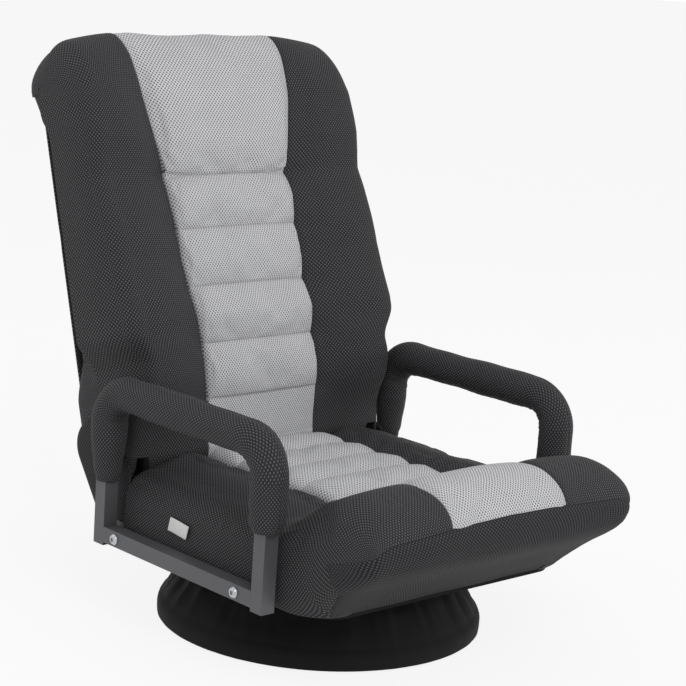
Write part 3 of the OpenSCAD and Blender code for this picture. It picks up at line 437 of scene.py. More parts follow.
def declare(piece, body, replaced=()):
    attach(piece, body)
    if replaced:
        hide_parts(*replaced)
    print(piece.name, len(piece.data.polygons), "faces on", body)


def both_sides(build, name, body, node=None):
    """Builds a piece on the right and its mirror image on the left. Each may replace its side's node."""
    for side, sign in (("right_", 1.0), ("left_", -1.0)):
        replaced = [side + node] if node else ()
        declare(build(side + name, sign), body, replaced)


# %% [markdown]
# ## Uneven foam
# Slow noise, the same each run, takes the machined look off the foam. Sines with fixed phases are enough.


# %% Uneven foam
def uneven(points, size, amount, phase=0.0):
    """Slow height changes of about +-amount over a distance of about size, in millimetres."""
    x, y, z = (points[..., k] / size * 2 * math.pi for k in range(3))
    waves = (np.sin(x * 0.9 + 1.3 * np.sin(z * 0.7 + phase) + phase)
             + np.sin(y * 1.1 + 0.9 * np.sin(x * 0.6 - phase) + 2.1 * phase)
             + np.sin(z * 1.0 + 1.1 * np.sin(y * 0.8 + 2.0 * phase) - phase))
    return amount * waves / 3.0


def pucker(distance, width):
    """1 on a seam and falling away from it."""
    return np.exp(-(distance / width) ** 2)


def seam_lip(distance):
    """0 on a seam and 1 where the cloth has risen beside it."""
    return np.minimum(1.0, np.sqrt(np.clip(distance / 7.0, 0, 1)))


# %% [markdown]
# ## Letting the cloth settle
# Blender's cloth solver finishes each cushion. A coarse cage is cut out of slightly too much cloth, held
# at its seams and on its inner side, and blown up by a small pressure without gravity. Its movement,
# limited to a few millimetres, is added to the fine grid.


# %% Cloth solver
def cage_of(outer, inner, held, every=3):
    """Coarse closed mesh of a cushion, with a vertex group that holds its seams and its inner side."""
    picks = [np.unique(np.linspace(0, k - 1, max(8, k // every)).round().astype(int)) for k in held.shape]
    at = np.ix_(*picks)
    cage = shell("cage", outer[at], inner[at], black_mesh)
    weights = held[at].copy()
    weights[[0, -1], :] = weights[:, [0, -1]] = 1.0
    group = cage.vertex_groups.new(name="held")
    for i, weight in enumerate(np.concatenate([weights.ravel(), np.ones(weights.size)])):
        group.add([i], float(weight), "REPLACE")
    return cage, picks


def run_cloth(cage, frames=20):
    """Positions of the cage's vertices after the run."""
    cloth = cage.modifiers.new("Cloth", "CLOTH")
    settings = cloth.settings
    settings.quality, settings.mass, settings.bending_stiffness = 5, 0.3, 0.6
    settings.tension_stiffness = settings.compression_stiffness = 12.0
    settings.vertex_group_mass = "held"
    settings.use_pressure, settings.uniform_pressure_force = True, 4.0
    settings.shrink_min = settings.shrink_max = -0.035
    settings.effector_weights.gravity = 0.0
    cloth.collision_settings.use_collision = False
    scene = bpy.context.scene
    for frame_number in range(1, frames + 1):
        scene.frame_set(frame_number)
    settled = cage.evaluated_get(bpy.context.evaluated_depsgraph_get()).data
    coords = np.empty(len(settled.vertices) * 3, np.float32)
    settled.vertices.foreach_get("co", coords)
    scene.frame_set(1)
    return coords.reshape(-1, 3) / MM


def settle(piece, outer, inner, held, cap, first=0):
    """Adds the movement of a cage, at most cap millimetres, to the outer skin from a first row on."""
    skipped = first * outer.shape[1] * 3
    outer, inner, held = outer[first:], inner[first:], np.clip(held[first:], 0, 1)
    cage, picks = cage_of(outer, inner, held)
    start = outer[np.ix_(*picks)]
    moved = run_cloth(cage)[:start[..., 0].size].reshape(start.shape) - start
    size = np.linalg.norm(moved, axis=2, keepdims=True)
    moved *= cap * np.tanh(size / cap) / np.maximum(size, 1e-6)
    rows_at, cols_at = (np.arange(k) for k in held.shape)
    wide = np.stack([[np.interp(cols_at, picks[1], line[:, k]) for k in range(3)] for line in moved])
    fine = np.array([[np.interp(rows_at, picks[0], wide[:, k, c]) for c in cols_at] for k in range(3)])
    fine = np.transpose(fine, (2, 1, 0)) * (1 - held[..., None])
    coords = np.empty(len(piece.data.vertices) * 3, np.float32)
    piece.data.vertices.foreach_get("co", coords)
    coords[skipped:skipped + fine.size] += (fine * MM).ravel().astype(np.float32)
    piece.data.vertices.foreach_set("co", coords)
    piece.data.update()
    bpy.data.objects.remove(cage)
    print(piece.name, "settled by up to", round(float(np.linalg.norm(fine, axis=2).max()), 1), "mm")


# %% [markdown]
# ## The seat's centre panel
# From the front seam the grey cloth climbs over a thick front roll, drops into a valley, and runs back to
# the hinge in four stuffed channels, each high in the middle with a narrow valley at its seams. The long
# edges are sewn to the bolsters, so the height falls off only in the last few millimetres.

# %% Rows of the seat
CHANNELS = 4
CHANNEL_PITCH = (SEAT_REAR - ROLL_BACK) / CHANNELS
SEAT_SEAMS = [ROLL_BACK + k * CHANNEL_PITCH for k in range(CHANNELS + 1)]


def puff_shape(t):
    return np.power(np.maximum(np.sin(math.pi * np.clip(t, 0, 1)), 0.0), 0.5)


def seat_rows(nose_steps=16, slope_steps=30, channel_steps=18):
    """Rows of the seat from the front seam to the hinge: y, height and puff."""
    rows = []
    for a in np.linspace(0, math.pi / 2, nose_steps):
        rows.append((ROLL_TOP[0] - NOSE_DEPTH * math.cos(a),
                     NOSE_Z + (ROLL_TOP[1] - NOSE_Z) * math.sin(a), 0.0))
    for t in np.linspace(0, 1, slope_steps)[1:]:
        z = SEAM_Z + (ROLL_TOP[1] - SEAM_Z) * (1 + math.cos(math.pi * t)) / 2
        rows.append((blend(ROLL_TOP[0], ROLL_BACK, t), z, 0.0))
    for k in range(CHANNELS):
        for t in np.linspace(0, 1, channel_steps)[1:]:
            crowded = 0.5 - 0.5 * math.cos(math.pi * t)
            rows.append((ROLL_BACK + (k + crowded) * CHANNEL_PITCH, SEAM_Z, crowded))
    return np.array(rows)


HOOP_Y = -152.0


def seat_under(y):
    """Underside of the cushions: flat on the straps, then up over the front hoop."""
    return np.clip(SEAT_Z + 32.0 + (HOOP_Y - y) * 0.6, SEAT_Z + 33.0, SEAT_Z + 112.0)


# %% Seat centre panel
rows = seat_rows()
rows[:, 1] -= 6.0 * step((rows[:, 0] - SEAT_REAR + 14.0) / 14.0)
row_y, row_z, row_t = (rows[:, k][:, None] for k in range(3))
seat_seam_x = PANEL_X - 1.0 + 3.0 * np.sin(math.pi * row_t) ** 0.8


def panel_columns(half_count):
    """Columns of a centre panel from -1 to 1, close together at both seams, and its thickness there."""
    side_t = np.sin(np.linspace(-1, 1, 2 * half_count + 1) * math.pi / 2)[None, :]
    return side_t, np.power(1 - np.abs(side_t) ** 16, 0.5)


side_t, edge = panel_columns(30)
x = side_t * (seat_seam_x - 0.15)
from_seam = step(np.arange(len(rows)) / 7.0)[:, None]
z = row_z - 4.5 + (9.0 * puff_shape(row_t) * (row_t > 0) + 2.5 + 3.0 * from_seam) * edge
z = z + 3.0 * (1 - side_t ** 2) * from_seam
seat_grid = stack(x, row_y, z)
seat_grid[..., 2] += uneven(seat_grid, 90.0, 0.8)
seat_floor = stack(x, row_y, np.minimum(seat_under(row_y), row_z - 4.0))
seat_centre = shell("seat_centre_cloth", seat_grid, seat_floor, grey_mesh)
held = sum(pucker(row_y - seam, 5.0) for seam in SEAT_SEAMS)
held = held + pucker((1 - np.abs(side_t)) * 100.0, 7.0) + step((row_y - SEAT_REAR + 36.0) / 24.0)
settle(seat_centre, seat_grid, seat_floor, held, cap=4.0)
declare(seat_centre, "seat", ["seat_panel"])

# %% [markdown]
# ## The seat's side bolsters and walls
# A bolster is one length of black cloth: sewn to the grey panel, over the padded edge, down the side wall
# and in under the board. The front of the seat leans back towards the board, so the wall and the front
# panel are cut from one body, which `side_x` and `outline` describe.


# %% The body under the black cloth
# Height and place of the front face, from the board up to the seam.
FRONT_Z, FRONT_Y = np.array([
    (103.0, -231.0), (114.0, -240.0), (126.0, -252.0), (138.0, -265.0), (150.0, -280.0), (160.0, -294.0),
    (170.0, -306.5), (180.0, -315.5), (192.0, -321.0), (204.0, -323.5), (214.0, -323.5), (224.0, -322.0),
]).T


def front_y(z):
    """Where the front face of the seat lies at a height. It bulges below the seam, then runs back."""
    return np.interp(z, FRONT_Z, FRONT_Y)


corner_radius = curve((103, 46), (150, 32), (180, 22), (205, 17))


def side_x(y, z):
    """Half width of the seat at a place and a height: drawn in low down, round at the front corners."""
    r = corner_radius(z)
    d = np.clip(front_y(z) + r - y, 0.0, r)
    drawn_in = 4.0 * np.clip((176.0 - z) / 80.0, 0, 1) ** 2
    return SEAT_W - drawn_in - r + np.sqrt(np.maximum(r * r - d * d, 0.0))


def outline(length, z):
    """Point and outward direction on the plan of the body, by the distance from the middle of its front."""
    r = corner_radius(z)
    straight = side_x(0.0, z) - r
    d = np.abs(length)
    a = np.clip((d - straight) / r, 0, math.pi / 2)
    px = np.minimum(d, straight) + r * np.sin(a)
    py = front_y(z) + r * (1 - np.cos(a)) + np.maximum(d - straight - r * math.pi / 2, 0)
    return np.sign(length) * px, py, np.sign(length) * np.sin(a), -np.cos(a)


# %% Seat bolster with its side wall
def seat_bolster(name, sign):
    hem = np.interp(row_y, FRONT_Y[9::-1], FRONT_Z[9::-1] - 1.5)
    spine = blend(hem, row_z, 0.42)
    width = side_x(row_y, spine)
    start = seat_seam_x + 0.15
    inset = np.minimum(52.0, (width - start) * 0.5)
    flat_part = np.linspace(0, 1, 34)[None, :]
    turn_part = np.linspace(0, 1, 24)[None, 1:] * math.pi / 2
    wall_part = np.linspace(0, 1, 20)[None, 1:]
    px = np.concatenate([blend(start, width - inset, flat_part),
                         width - inset + inset * np.sin(turn_part) ** (2 / 3)], axis=1)
    keep = np.concatenate([1 + 0 * flat_part, np.cos(turn_part) ** (2 / 3)], axis=1)
    u = np.clip((px - PANEL_X) / (SEAT_W - PANEL_X), 0, 1)
    behind_roll = step((row_y - ROLL_BACK) / 60.0 + 1.0)
    crest = 8.0 * np.sin(math.pi * np.clip(u * 1.5, 0, 1)) * behind_roll - 4.0 * u
    lip = seam_lip(px - start)
    sunk = 4.5 * pucker(px - start, 26.0) * behind_roll
    pz = blend(spine, row_z + crest - sunk - 2.5 * (1 - lip), keep)
    # Sewing at the channel seams draws the bolster's inner edge down.
    for seam in SEAT_SEAMS:
        pz = pz - 4.0 * pucker(row_y - seam, 11.0) * pucker(px - PANEL_X, 26.0)
    swell = uneven(stack(px, row_y, pz), 120.0, 1.8, phase=sign)
    pz = pz + swell * keep * np.clip((px - 102) / 20, 0, 1) * step((row_z - hem) / 60.0)
    wall_z = blend(spine, hem, wall_part)
    belly = 2.4 * np.sin(math.pi * wall_part) * step((row_y + 215.0) / 50.0)
    wall_x = side_x(row_y, wall_z) + belly
    # Under the board, or behind the front panel's seam, the hem turns in.
    fold = np.linspace(0, 1, 7)[None, 1:]
    board = step((row_y + 236.0) / 10.0)
    fold_x = wall_x[:, -1:] - blend(8.0, 36.0, board) * fold
    hang = np.interp(row_y, [-236.0, -226.0, -180.0, -60.0], [1.0, 4.0, 7.0, 13.0])
    fold_z = hem - hang * np.sin(math.pi * 0.7 * fold)
    px = np.concatenate([px, wall_x, fold_x], axis=1)
    pz = np.concatenate([pz, wall_z, fold_z], axis=1)
    deep = keep.shape[1]
    under = deep + wall_x.shape[1]
    in_x = np.minimum(px * 0.94 + 6.0, px - 0.1)
    in_z = np.minimum(np.minimum(seat_under(row_y), pz - 6.0), pz - 1.0)
    in_x[:, deep:under] = px[:, deep:under] - 5.0
    in_z[:, deep:under] = pz[:, deep:under]
    in_x[:, under:] = px[:, under:] - 1.0
    in_z[:, under:] = pz[:, under:] + 1.8
    outer, inside = mirrored(stack(px, row_y, pz), sign), mirrored(stack(in_x, row_y, in_z), sign)
    piece = shell(name, outer, inside, black_mesh, flip=sign < 0)
    held = np.where(np.arange(px.shape[1])[None, :] >= deep - 4, 1.0, 0.0) + pucker(px - start, 7.0)
    held = held + 1 - step((np.arange(len(rows))[:, None] - 6.0) / 12.0)
    for seam in SEAT_SEAMS:
        held = held + pucker(row_y - seam, 6.0) * pucker(px - start, 26.0)
    settle(piece, outer, inside, held, cap=5.0)
    return piece


both_sides(seat_bolster, "seat_bolster_cloth", "seat", "seat_bolster")

# %% [markdown]
# ## The front panel
# Under the front seam a second black panel leans back to the board and wraps round both front corners,
# where it ends in a point. It bulges between its edges and dips below the wall's surface at them.


# %% Front panel
def front_gusset(reach=284.0, fold_in=17.0):
    t = np.linspace(-1, 1, 161)[None, :]
    k = np.concatenate([np.linspace(0, 1, 30), [1.0] * 5])[:, None]
    fold = np.concatenate([np.zeros(30), np.linspace(0, 1, 6)[1:]])[:, None]
    u = np.abs(t)
    end_length = np.interp(k, [0.0, 0.5, 1.0], [reach, 216.0, 198.0])
    top_z = np.interp(u * reach, [0, 100, 190, 215, 240, reach], [219.5, 217.5, 212.0, 206.0, 196.0, 178.0])
    pz = blend(top_z, SEAT_Z + 12.0, k)
    px, py, nx, ny = outline(t * end_length, pz)
    wrap = step((u - 0.66) / 0.34)
    from_edge = np.minimum(k * 105.0 + 100.0 * (fold > 0), (1 - u) * end_length)
    sewn = step(from_edge / 5.0)
    swell = (4.0 - 2.0 * wrap) * np.sin(math.pi * k) ** 0.7
    out = -1.6 + (2.9 + swell) * sewn - fold_in * fold
    px = px + nx * out
    py = py + ny * out * 0.9
    pz = pz - np.abs(ny) * (out + fold_in * fold) * 0.45 - 9.0 * np.sin(math.pi * 0.6 * fold)
    points = stack(px, py, pz)
    points[..., 1] -= uneven(points, 110.0, 1.2, phase=0.7) * sewn * (1 - wrap)
    # The darker mesh of this panel is painted shade from under the front roll.
    return shell("front_gusset_cloth", points[:, ::-1], thin(points[:, ::-1], 2.4), shade_painted_mesh)


declare(front_gusset(), "seat", ["seat_front_gusset"])

# %% [markdown]
# ## The back
# The back has its own axes: n is the distance in front of the steel frame, s the distance along it from
# the hinge. The grey cloth starts in the crease at the hinge, runs up over five channels and the headrest,
# and folds over the top bar to its hem behind.

# %% Patterns of the back
seam_n = curve((-20, 79), (2, 83.5), (42, 95), (113, 99.5), (150, 99.5), (188, 92.5), (226, 87),
               (264, 87.5), (300, 85), (335, 81), (400, 82))
# How deep the seam between grey and black lies below the headrest's crown.
sunk_by = curve((270, 0), (335, 5), (360, 11), (385, 13), (410, 12), (440, 9), (470, 6), (500, 1), (530, 0))
grey_half = curve((-80, 90), (42, 93), (80, 92), (113, 93), (188, 97), (264, 100), (335, 103), (390, 116),
                  (440, 125), (530, 133))
# Half width at the frame behind, which flares later than the front.
rear_w = curve((60, 218), (120, 214), (150, 214.5), (250, 219), (320, 218), (400, 216), (430, 219),
               (470, 231), (500, 235))
lumbar_seams = [-17.0, 42.0, 113.0, 188.0, 264.0, 335.0]
HEAD_S, HEAD_N, HEAD_MID = 385.0, 96.0, 38.0
REAR_N = -21.0
TOP_S = 480.0
FOLD_S = 62.0
WRAP_N = REAR_N - 12.0
WRAP_S = BACK_LEN - 96.0


def grey_w(s):
    """Half width of the grey cloth. Its edges swing out beside each stuffed channel."""
    swing = 0.0 * s
    for low, high in zip(lumbar_seams[1:-1], lumbar_seams[2:]):
        share = np.clip((s - low) / (high - low), 0, 1)
        swing = swing + 3.2 * np.sin(math.pi * share) ** 0.8
    return grey_half(s) - 1.0 + swing


def back_w(s):
    """Half width of the back's front face, which flares above the armrests."""
    return blend(217.0, 237.5, step((s - 92.0) / 45.0))


def head_chain():
    """Section of the headrest: out from the seam, up the front, over the top bar, down behind."""
    chain = []
    for t in np.linspace(0, 1, 16)[:-1]:
        chain.append((blend(seam_n(335.0), HEAD_N, math.sin(math.pi / 2 * t) ** 0.6),
                      blend(336.0, HEAD_S, t ** 1.3)))
    for a in np.linspace(0, math.pi / 2, 26):
        chain.append((HEAD_MID + (HEAD_N - HEAD_MID) * math.cos(a),
                      HEAD_S + (BACK_LEN + 3.5 - HEAD_S) * math.sin(a)))
    for a in np.linspace(0, math.pi / 2, 14)[1:]:
        chain.append((HEAD_MID + (WRAP_N - HEAD_MID) * math.sin(a),
                      BACK_LEN - FOLD_S + FOLD_S * math.cos(a)))
    chain += [(WRAP_N, blend(BACK_LEN - FOLD_S, WRAP_S, t)) for t in np.linspace(0, 1, 8)[1:]]
    return np.array(chain)


def back_chain():
    """Section of the grey cloth as n, s, place in the channel and its fullness, from crease to rear hem."""
    chain = [(n, s, 0.0, 0.0) for n, s in arc((0, 0), ROLL_R, -63.0, -12.0, 18)]
    for k, (low, high) in enumerate(zip(lumbar_seams, lumbar_seams[1:])):
        for t in np.linspace(0, 1, 20)[1:]:
            t = 0.5 - 0.5 * math.cos(math.pi * t)
            s = blend(low, high, t)
            chain.append((float(seam_n(s)), s, t, 0.12 if k == 0 else 1.0))
    return np.array(chain + [(n, s, 0.0, 0.0) for n, s in head_chain()])


def inner_chain(chain):
    """Section of the cushion's inner side: round the hinge, up the straps, over the top bar."""
    result = np.zeros((len(chain), 2))
    top_row = int(np.argmax(chain[:, 1]))
    after_top = max(1, len(chain) - 1 - top_row)
    for i, (n, s) in enumerate(chain[:, :2]):
        if s < 40.0:
            angle = blend(math.atan2(s, n), math.radians(84.0), float(step((s + 17.0) / 57.0)))
            result[i] = (LID_R * math.cos(angle), LID_R * math.sin(angle))
        elif i <= top_row:
            result[i] = (4.0, min(s, TOP_S + 14.0 * s / BACK_LEN))
        else:
            t = step((i - top_row) / after_top * 1.6)
            result[i] = (blend(4.0, WRAP_N + 5.4, t), min(s - 2.0, TOP_S + 13.0))
    return result


# %% Grey cloth of the back
chain = back_chain()
inner = inner_chain(chain)
side_t, edge = panel_columns(34)
n, s, t, amount = (chain[:, k][:, None] for k in range(4))
puff = 10.0 * puff_shape(t) * amount
radial = outward(chain)
lift = puff * edge + 3.0 * edge - 3.0 + 3.0 * (1 - side_t ** 2) * (amount + 0.25)
over_top = (np.arange(len(chain)) > int(np.argmax(chain[:, 1])))[:, None]
lift = lift - np.where(over_top, 0.0, sunk_by(s)) * side_t ** 6
half = grey_w(s) - 0.15
grey_back = from_back(half * side_t, n + lift * radial[:, :1], s + lift * radial[:, 1:])
grey_back[..., 1] -= uneven(grey_back, 100.0, 1.0, phase=2.0)
grey_inner = from_back(half * side_t, inner[:, :1], inner[:, 1:])
back_centre = shell("back_centre_cloth", grey_back, grey_inner, grey_mesh)
held = sum(pucker(s - seam, 5.0) for seam in lumbar_seams) + over_top
held = held + pucker((1 - np.abs(side_t)) * 120.0, 7.0) + 1 - step((s - 30.0) / 40.0)
settle(back_centre, grey_back, grey_inner, held, cap=4.0)
declare(back_centre, "back", ["lumbar_panel", "head_panel"])

# %% [markdown]
# ## The back's side bolsters
# Each is a long pillow from the crease to the top, beside the grey cloth and round the edge of the frame.
# At its outer edge the outer and the inner skin close on a spine line, like two halves on their seam.


# %% Bolster of the back
crest_mm = curve((10, 0), (40, 17), (66, 31), (130, 33), (230, 33), (300, 25), (350, 12.5), (400, 10.5),
                 (450, 13), (480, 13.5), (510, 9.5), (530, 3))
neck_n = curve((300, 85.4), (335, 83), (360, 91), (385, 96))


def closing(x, start, end):
    """How far a padded edge keeps its thickness between start and its limit end."""
    return np.power(np.maximum(1 - np.clip((x - start) / (end - start), 0, 1) ** 3, 0), 1 / 3)


def evened(values, reach=4):
    """Running mean along a row of numbers, with the ends held."""
    padded_row = np.concatenate([[values[0]] * reach, values, [values[-1]] * reach])
    return np.convolve(padded_row, np.ones(2 * reach + 1) / (2 * reach + 1), mode="valid")


def bolster_line():
    """Section of the bolster along the back, from the crease over the head to the rear hem."""
    low = [tuple(point) for point in arc((0, 0), ROLL_R, -63.0, -13.0, 14)]
    s = np.linspace(-16, 384, 100)
    mid = list(zip(np.where(s > 300, neck_n(s), seam_n(s)), s))
    upper = [(n, s) for n, s in head_chain() if s >= HEAD_S or n < 60]
    return np.array(low + mid + upper), len(low)


# %% Both skins of the back's bolster
SPINE_R = 56.0
SPINE_TOP = TOP_S - 22.0
FRAME_X = 206.0


def back_bolster(name, sign):
    line, low_count = bolster_line()
    count = len(line)
    n, s = line[:, :1], line[:, 1:]
    low = (np.arange(count) < low_count)[:, None]
    behind = (np.arange(count) > int(np.argmax(line[:, 1])))[:, None]
    s_width = np.where(low, -40.0, s)
    width, rear_width = back_w(s_width), rear_w(s_width)
    width = np.where(behind, rear_width, width)
    start = grey_w(s_width) + 0.15
    edge_x = width - 38.0
    c = np.concatenate([np.linspace(0, 1, 48), 1 + np.sin(np.linspace(0, 1, 34)[1:] * math.pi / 2)])
    c = c[None, :]
    px = np.where(c <= 1, blend(start, edge_x, np.minimum(c, 1)), blend(edge_x, width, c - 1))
    # Outside the ratchet arms the lower roll stops at the seat's rear lip.
    outboard = step((px - 181.0) / 8.0) * (1 - step((px - 207.0) / 2.0))
    angle = np.arctan2(s, n)
    stop = np.radians(-15.0)
    clipped = np.where(low & (angle < stop), blend(angle, stop, outboard), angle)
    on = np.where(low, ROLL_R * np.cos(clipped), n)
    os = np.where(low, ROLL_R * np.sin(clipped), s)
    # The pillow rises towards its outer edge; the channel seams pull its inner edge back.
    u = np.clip((px - start) / (width - start), 0, 1)
    height = evened(np.where(behind[:, 0] | low[:, 0], 0.0, crest_mm(s[:, 0])))
    crest = height[:, None] * np.sin(math.pi / 2 * np.clip(u / 0.75, 0, 1))
    for seam in lumbar_seams[1:]:
        crest = crest - 5.0 * pucker(s - seam, 13.0) * pucker(px - start, 28.0) * (~behind)
    lip = seam_lip(px - start)
    on = on + crest - np.where(behind, 0.0, 3.0) * (1 - lip)
    on = on - np.where(behind, 0.0, sunk_by(s)) * pucker(px - start, 30.0)
    droop = 17.0 * np.clip((px - 128.0) / 108.0, 0, 1) ** 1.4 * step((s - 430) / 40)
    os = os - droop * (~behind | (s > 470))
    lower_n = blend(SPINE_R, 25.0, step((s - 24) / 60))
    spine_n = np.where(low | (s < 24), SPINE_R * np.cos(clipped), lower_n)
    spine_n = np.where(s > 84, blend(25.0, 12.0, step((s - 400.0) / 30.0)), spine_n)
    spine_s = np.where(low, SPINE_R * np.sin(clipped), np.minimum(s, SPINE_TOP))
    inset = np.where(behind, 42.0, blend(34.0, 42.0, step((s - 450) / 60)))
    inset = blend(22.0, inset, step((s - 60) / 60))
    keep = np.maximum(closing(px, width - inset, width), 0.03)
    fn, fs = blend(spine_n, on, keep), blend(spine_s, os, keep)
    # Inner skin: beside the frame tube it turns back to the rear panel, and shows.
    inn = inner_chain(line)
    beside = step((px - FRAME_X) / 4.0) * (s > 18) * (~behind)
    rear_n = blend(REAR_N - 1.0, WRAP_N + 3.0, step((s - 420.0) / 10.0))
    rear_n = blend(-29.0, rear_n, step((s - 50.0) / 70.0))
    in_n = blend(inn[:, :1], rear_n, beside)
    in_s = blend(inn[:, 1:], np.clip(s, 21.0, 470.0), beside)
    in_n = np.where(low, LID_R * np.cos(clipped), in_n)
    in_s = np.where(low, LID_R * np.sin(clipped), in_s)
    rear_inset = np.where((px < FRAME_X + 2.0) | low | behind, 56.0,
                          blend(10.0, 52.0, step((s - 60) / 90)))
    rear_keep = np.maximum(closing(px, rear_width - rear_inset, rear_width), 0.03)
    bn, bs = blend(spine_n, in_n, rear_keep), blend(spine_s, in_s, rear_keep)
    outer_points = from_back(px, fn, fs)
    swell = uneven(outer_points, 130.0, 1.8, phase=0.5 + sign) * keep
    outer_points[..., 1] -= swell * np.clip((px - start) / 25.0, 0, 1) * step((s + 10) / 40)
    outer, inside = mirrored(outer_points, sign), mirrored(from_back(px, bn, bs), sign)
    behind_cloth = stack(px + bn, bs, 0)
    piece = shell(name, outer, inside, black_mesh, flip=sign < 0, cloth_inner=behind_cloth)
    held = np.where(behind | low | (keep < 0.5), 1.0, 1 - step((s - 40.0) / 40.0))
    held = held + pucker(px - start, 7.0)
    for seam in lumbar_seams[1:]:
        held = held + pucker(s - seam, 6.0) * pucker(px - start, 26.0)
    settle(piece, outer, inside, held, cap=5.0, first=low_count + 2)
    return piece


both_sides(back_bolster, "back_bolster_cloth", "back", "back_bolster")

# %% [markdown]
# ## Side cheeks at the hinge
# Beside the hinge a small padded panel stands between the seat's wall and the back. It stays with the
# seat, while the back's rounded end turns behind it. A second pad fills the corner below that swing.


# %% Hinge cheek and corner pad
CHEEK_X = (217.6, 220.4)


def cheek_outline(count=72):
    """Outline in the plane of y and z: the hinge's disc, a larger one below it, and their tangents."""
    floor_z = SEAT_Z + 11.0
    line = np.concatenate([
        [(SEAT_REAR + 0.5, SEAM_Z - 6.0), (SEAT_REAR + 0.5, floor_z), (SEAT_REAR + 24.0, floor_z)],
        arc((SEAT_REAR + 40.3, SEAT_Z + 52.6), 36.0, -38.0, -67.0, 6)[::-1],
        arc((HINGE_Y, HINGE_Z), CHEEK_R, -38.0, 128.0, 30),
        [(SEAT_REAR + 0.5, SEAM_Z - 6.0)],
    ])
    length = run_length(line)
    at = np.linspace(0, length[-1], count + 1)[:-1]
    return stack(np.interp(at, length, line[:, 0]), np.interp(at, length, line[:, 1]))


def hinge_cheek(name, sign):
    outer_line = cheek_outline()
    middle = outer_line.mean(axis=0)
    k = np.linspace(0.02, 1, 18)[:, None, None]
    ring = middle + (outer_line - middle)[None] * k
    ring = np.concatenate([ring, ring[:, :1]], axis=1)
    y, z = ring[..., 0], ring[..., 1]
    crown = np.power(1 - k[..., 0] ** 6, 0.5)
    points = stack(blend(CHEEK_X[0] + 1.0, CHEEK_X[1] + 0.4, crown), y, z)
    inside = stack(CHEEK_X[0] - 0.4, y, z)
    # The darker mesh of the cheek is painted shade from the hinge gap.
    return shell(name, mirrored(points, sign), mirrored(inside, sign), shade_painted_mesh,
                 flip=sign > 0, cloth=stack(y, z, 0.0))


def corner_pad(name, sign):
    """Tongue behind the seat bolster, under the swing of the back's lower end."""
    share = np.linspace(0, 1, 26)[None, :]
    depth = np.linspace(0, 1, 16)[:, None]
    shoulder = (1 - np.abs(2 * share - 1) ** 5) ** (1 / 5)
    top_z = 181.0 - 5.0 * depth - 6.0 * depth ** 6
    py = blend(SEAT_REAR - 8.0, SEAT_REAR + 44.0, depth)
    foot_z = 106.0 + 1.1 * np.maximum(py - 148.0, 0.0)
    pz = blend(foot_z, np.maximum(top_z, foot_z), shoulder)
    points = stack(blend(188.5, 203.0, share), py, pz)
    inside = stack(blend(191.0, 201.0, share), py - 0.5, np.minimum(pz, foot_z) - 1.5)
    return shell(name, mirrored(points, sign), mirrored(inside, sign), black_mesh, flip=sign < 0)


both_sides(hinge_cheek, "hinge_cheek_cloth", "seat", "hinge_cheek")
both_sides(corner_pad, "corner_pad_cloth", "seat")

# %% [markdown]
# ## The rear of seat and back
# Behind, a flat panel of mesh with a zip across it closes the back. The seat's own rear panel climbs from
# the board and curls round the hinge. The two overlap like the lid and body of a roll-top desk. Both are
# single cloths pulled tight, so each is a thin sheet with a stated cut.


# %% Rear panels
ZIP_S = 276.0


def declare_sheet(piece, grid):
    rows_mid, cols_mid = grid[:, grid.shape[1] // 2], grid[grid.shape[0] // 2]
    length, width = (float(np.linalg.norm(np.diff(line, axis=0), axis=1).sum() * MM)
                     for line in (rows_mid, cols_mid))
    print(piece.name, "cut to", round(width, 3), "by", round(length, 3), "m")


def rear_back_panel(half=207.0):
    """Panel of the back, its lower end curled round the hinge."""
    lid = arc((0, 0), LID_R, 8.0, 44.6, 14) * (-1, 1)
    up_s = np.linspace(math.sqrt(LID_R ** 2 - 27.0 ** 2), TOP_S - 6.0, 70)[1:]
    line = np.concatenate([lid, stack(REAR_N - 6.0, up_s)])
    x = np.linspace(-half, half, 71)[None, :]
    n, s = line[:, :1], line[:, 1:]
    inside = step((s - 40.0) / 40.0) * (1 - step((s - 430.0) / 40.0)) * (1 - (x / half) ** 6)
    inside = inside * (1 - pucker(s - ZIP_S, 16.0))
    points = from_back(x, n - 1.2 * inside + 0.7 * pucker(s - ZIP_S, 12.0), s)
    points[..., 1] += uneven(points, 140.0, 1.0, phase=3.0) * inside
    return shell("rear_cloth", points[:, ::-1], from_back(x, n + 2.6, s)[:, ::-1], black_mesh), points


def rear_seat_panel():
    """Strip from the board up to the hinge, then round it."""
    ring = arc((HINGE_Y, HINGE_Z), STRIP_R, -45.5, -14.0, 10)
    up = blend(np.array([156.0, SEAT_Z + 8.5]), ring[0], np.linspace(0, 1, 20)[:, None])
    line = np.concatenate([up, ring[1:]])
    points = stack(np.linspace(-202.0, 202.0, 61)[None, :], line[:, :1], line[:, 1:])
    piece = shell("rear_seat_cloth", points[:, ::-1], thin(points[:, ::-1], 2.6), black_mesh)
    return piece, points


def zip_teeth(n=-30.2, half=144.0, pitch=2.4):
    """Two rows of small teeth that meet on the middle line of the zip."""
    corners = np.array([(a, b, c) for a in (-1, 1) for b in (-1, 1) for c in (-1, 1)], float)
    quads = np.array([(0, 1, 3, 2), (4, 6, 7, 5), (0, 4, 5, 1), (2, 3, 7, 6), (0, 2, 6, 4), (1, 5, 7, 3)])
    box = corners * (0.42, 0.7, 1.5)
    verts, faces = [], []
    for i, x in enumerate(np.arange(-half, half, pitch / 2)):
        side = 0.9 if i % 2 else -0.9
        faces.append(quads + 8 * i)
        verts.append(from_back(x + box[:, 0], n + box[:, 1], ZIP_S + side + box[:, 2]))
    return new_piece("zip_teeth", np.concatenate(verts), np.concatenate(faces), black_plastic)


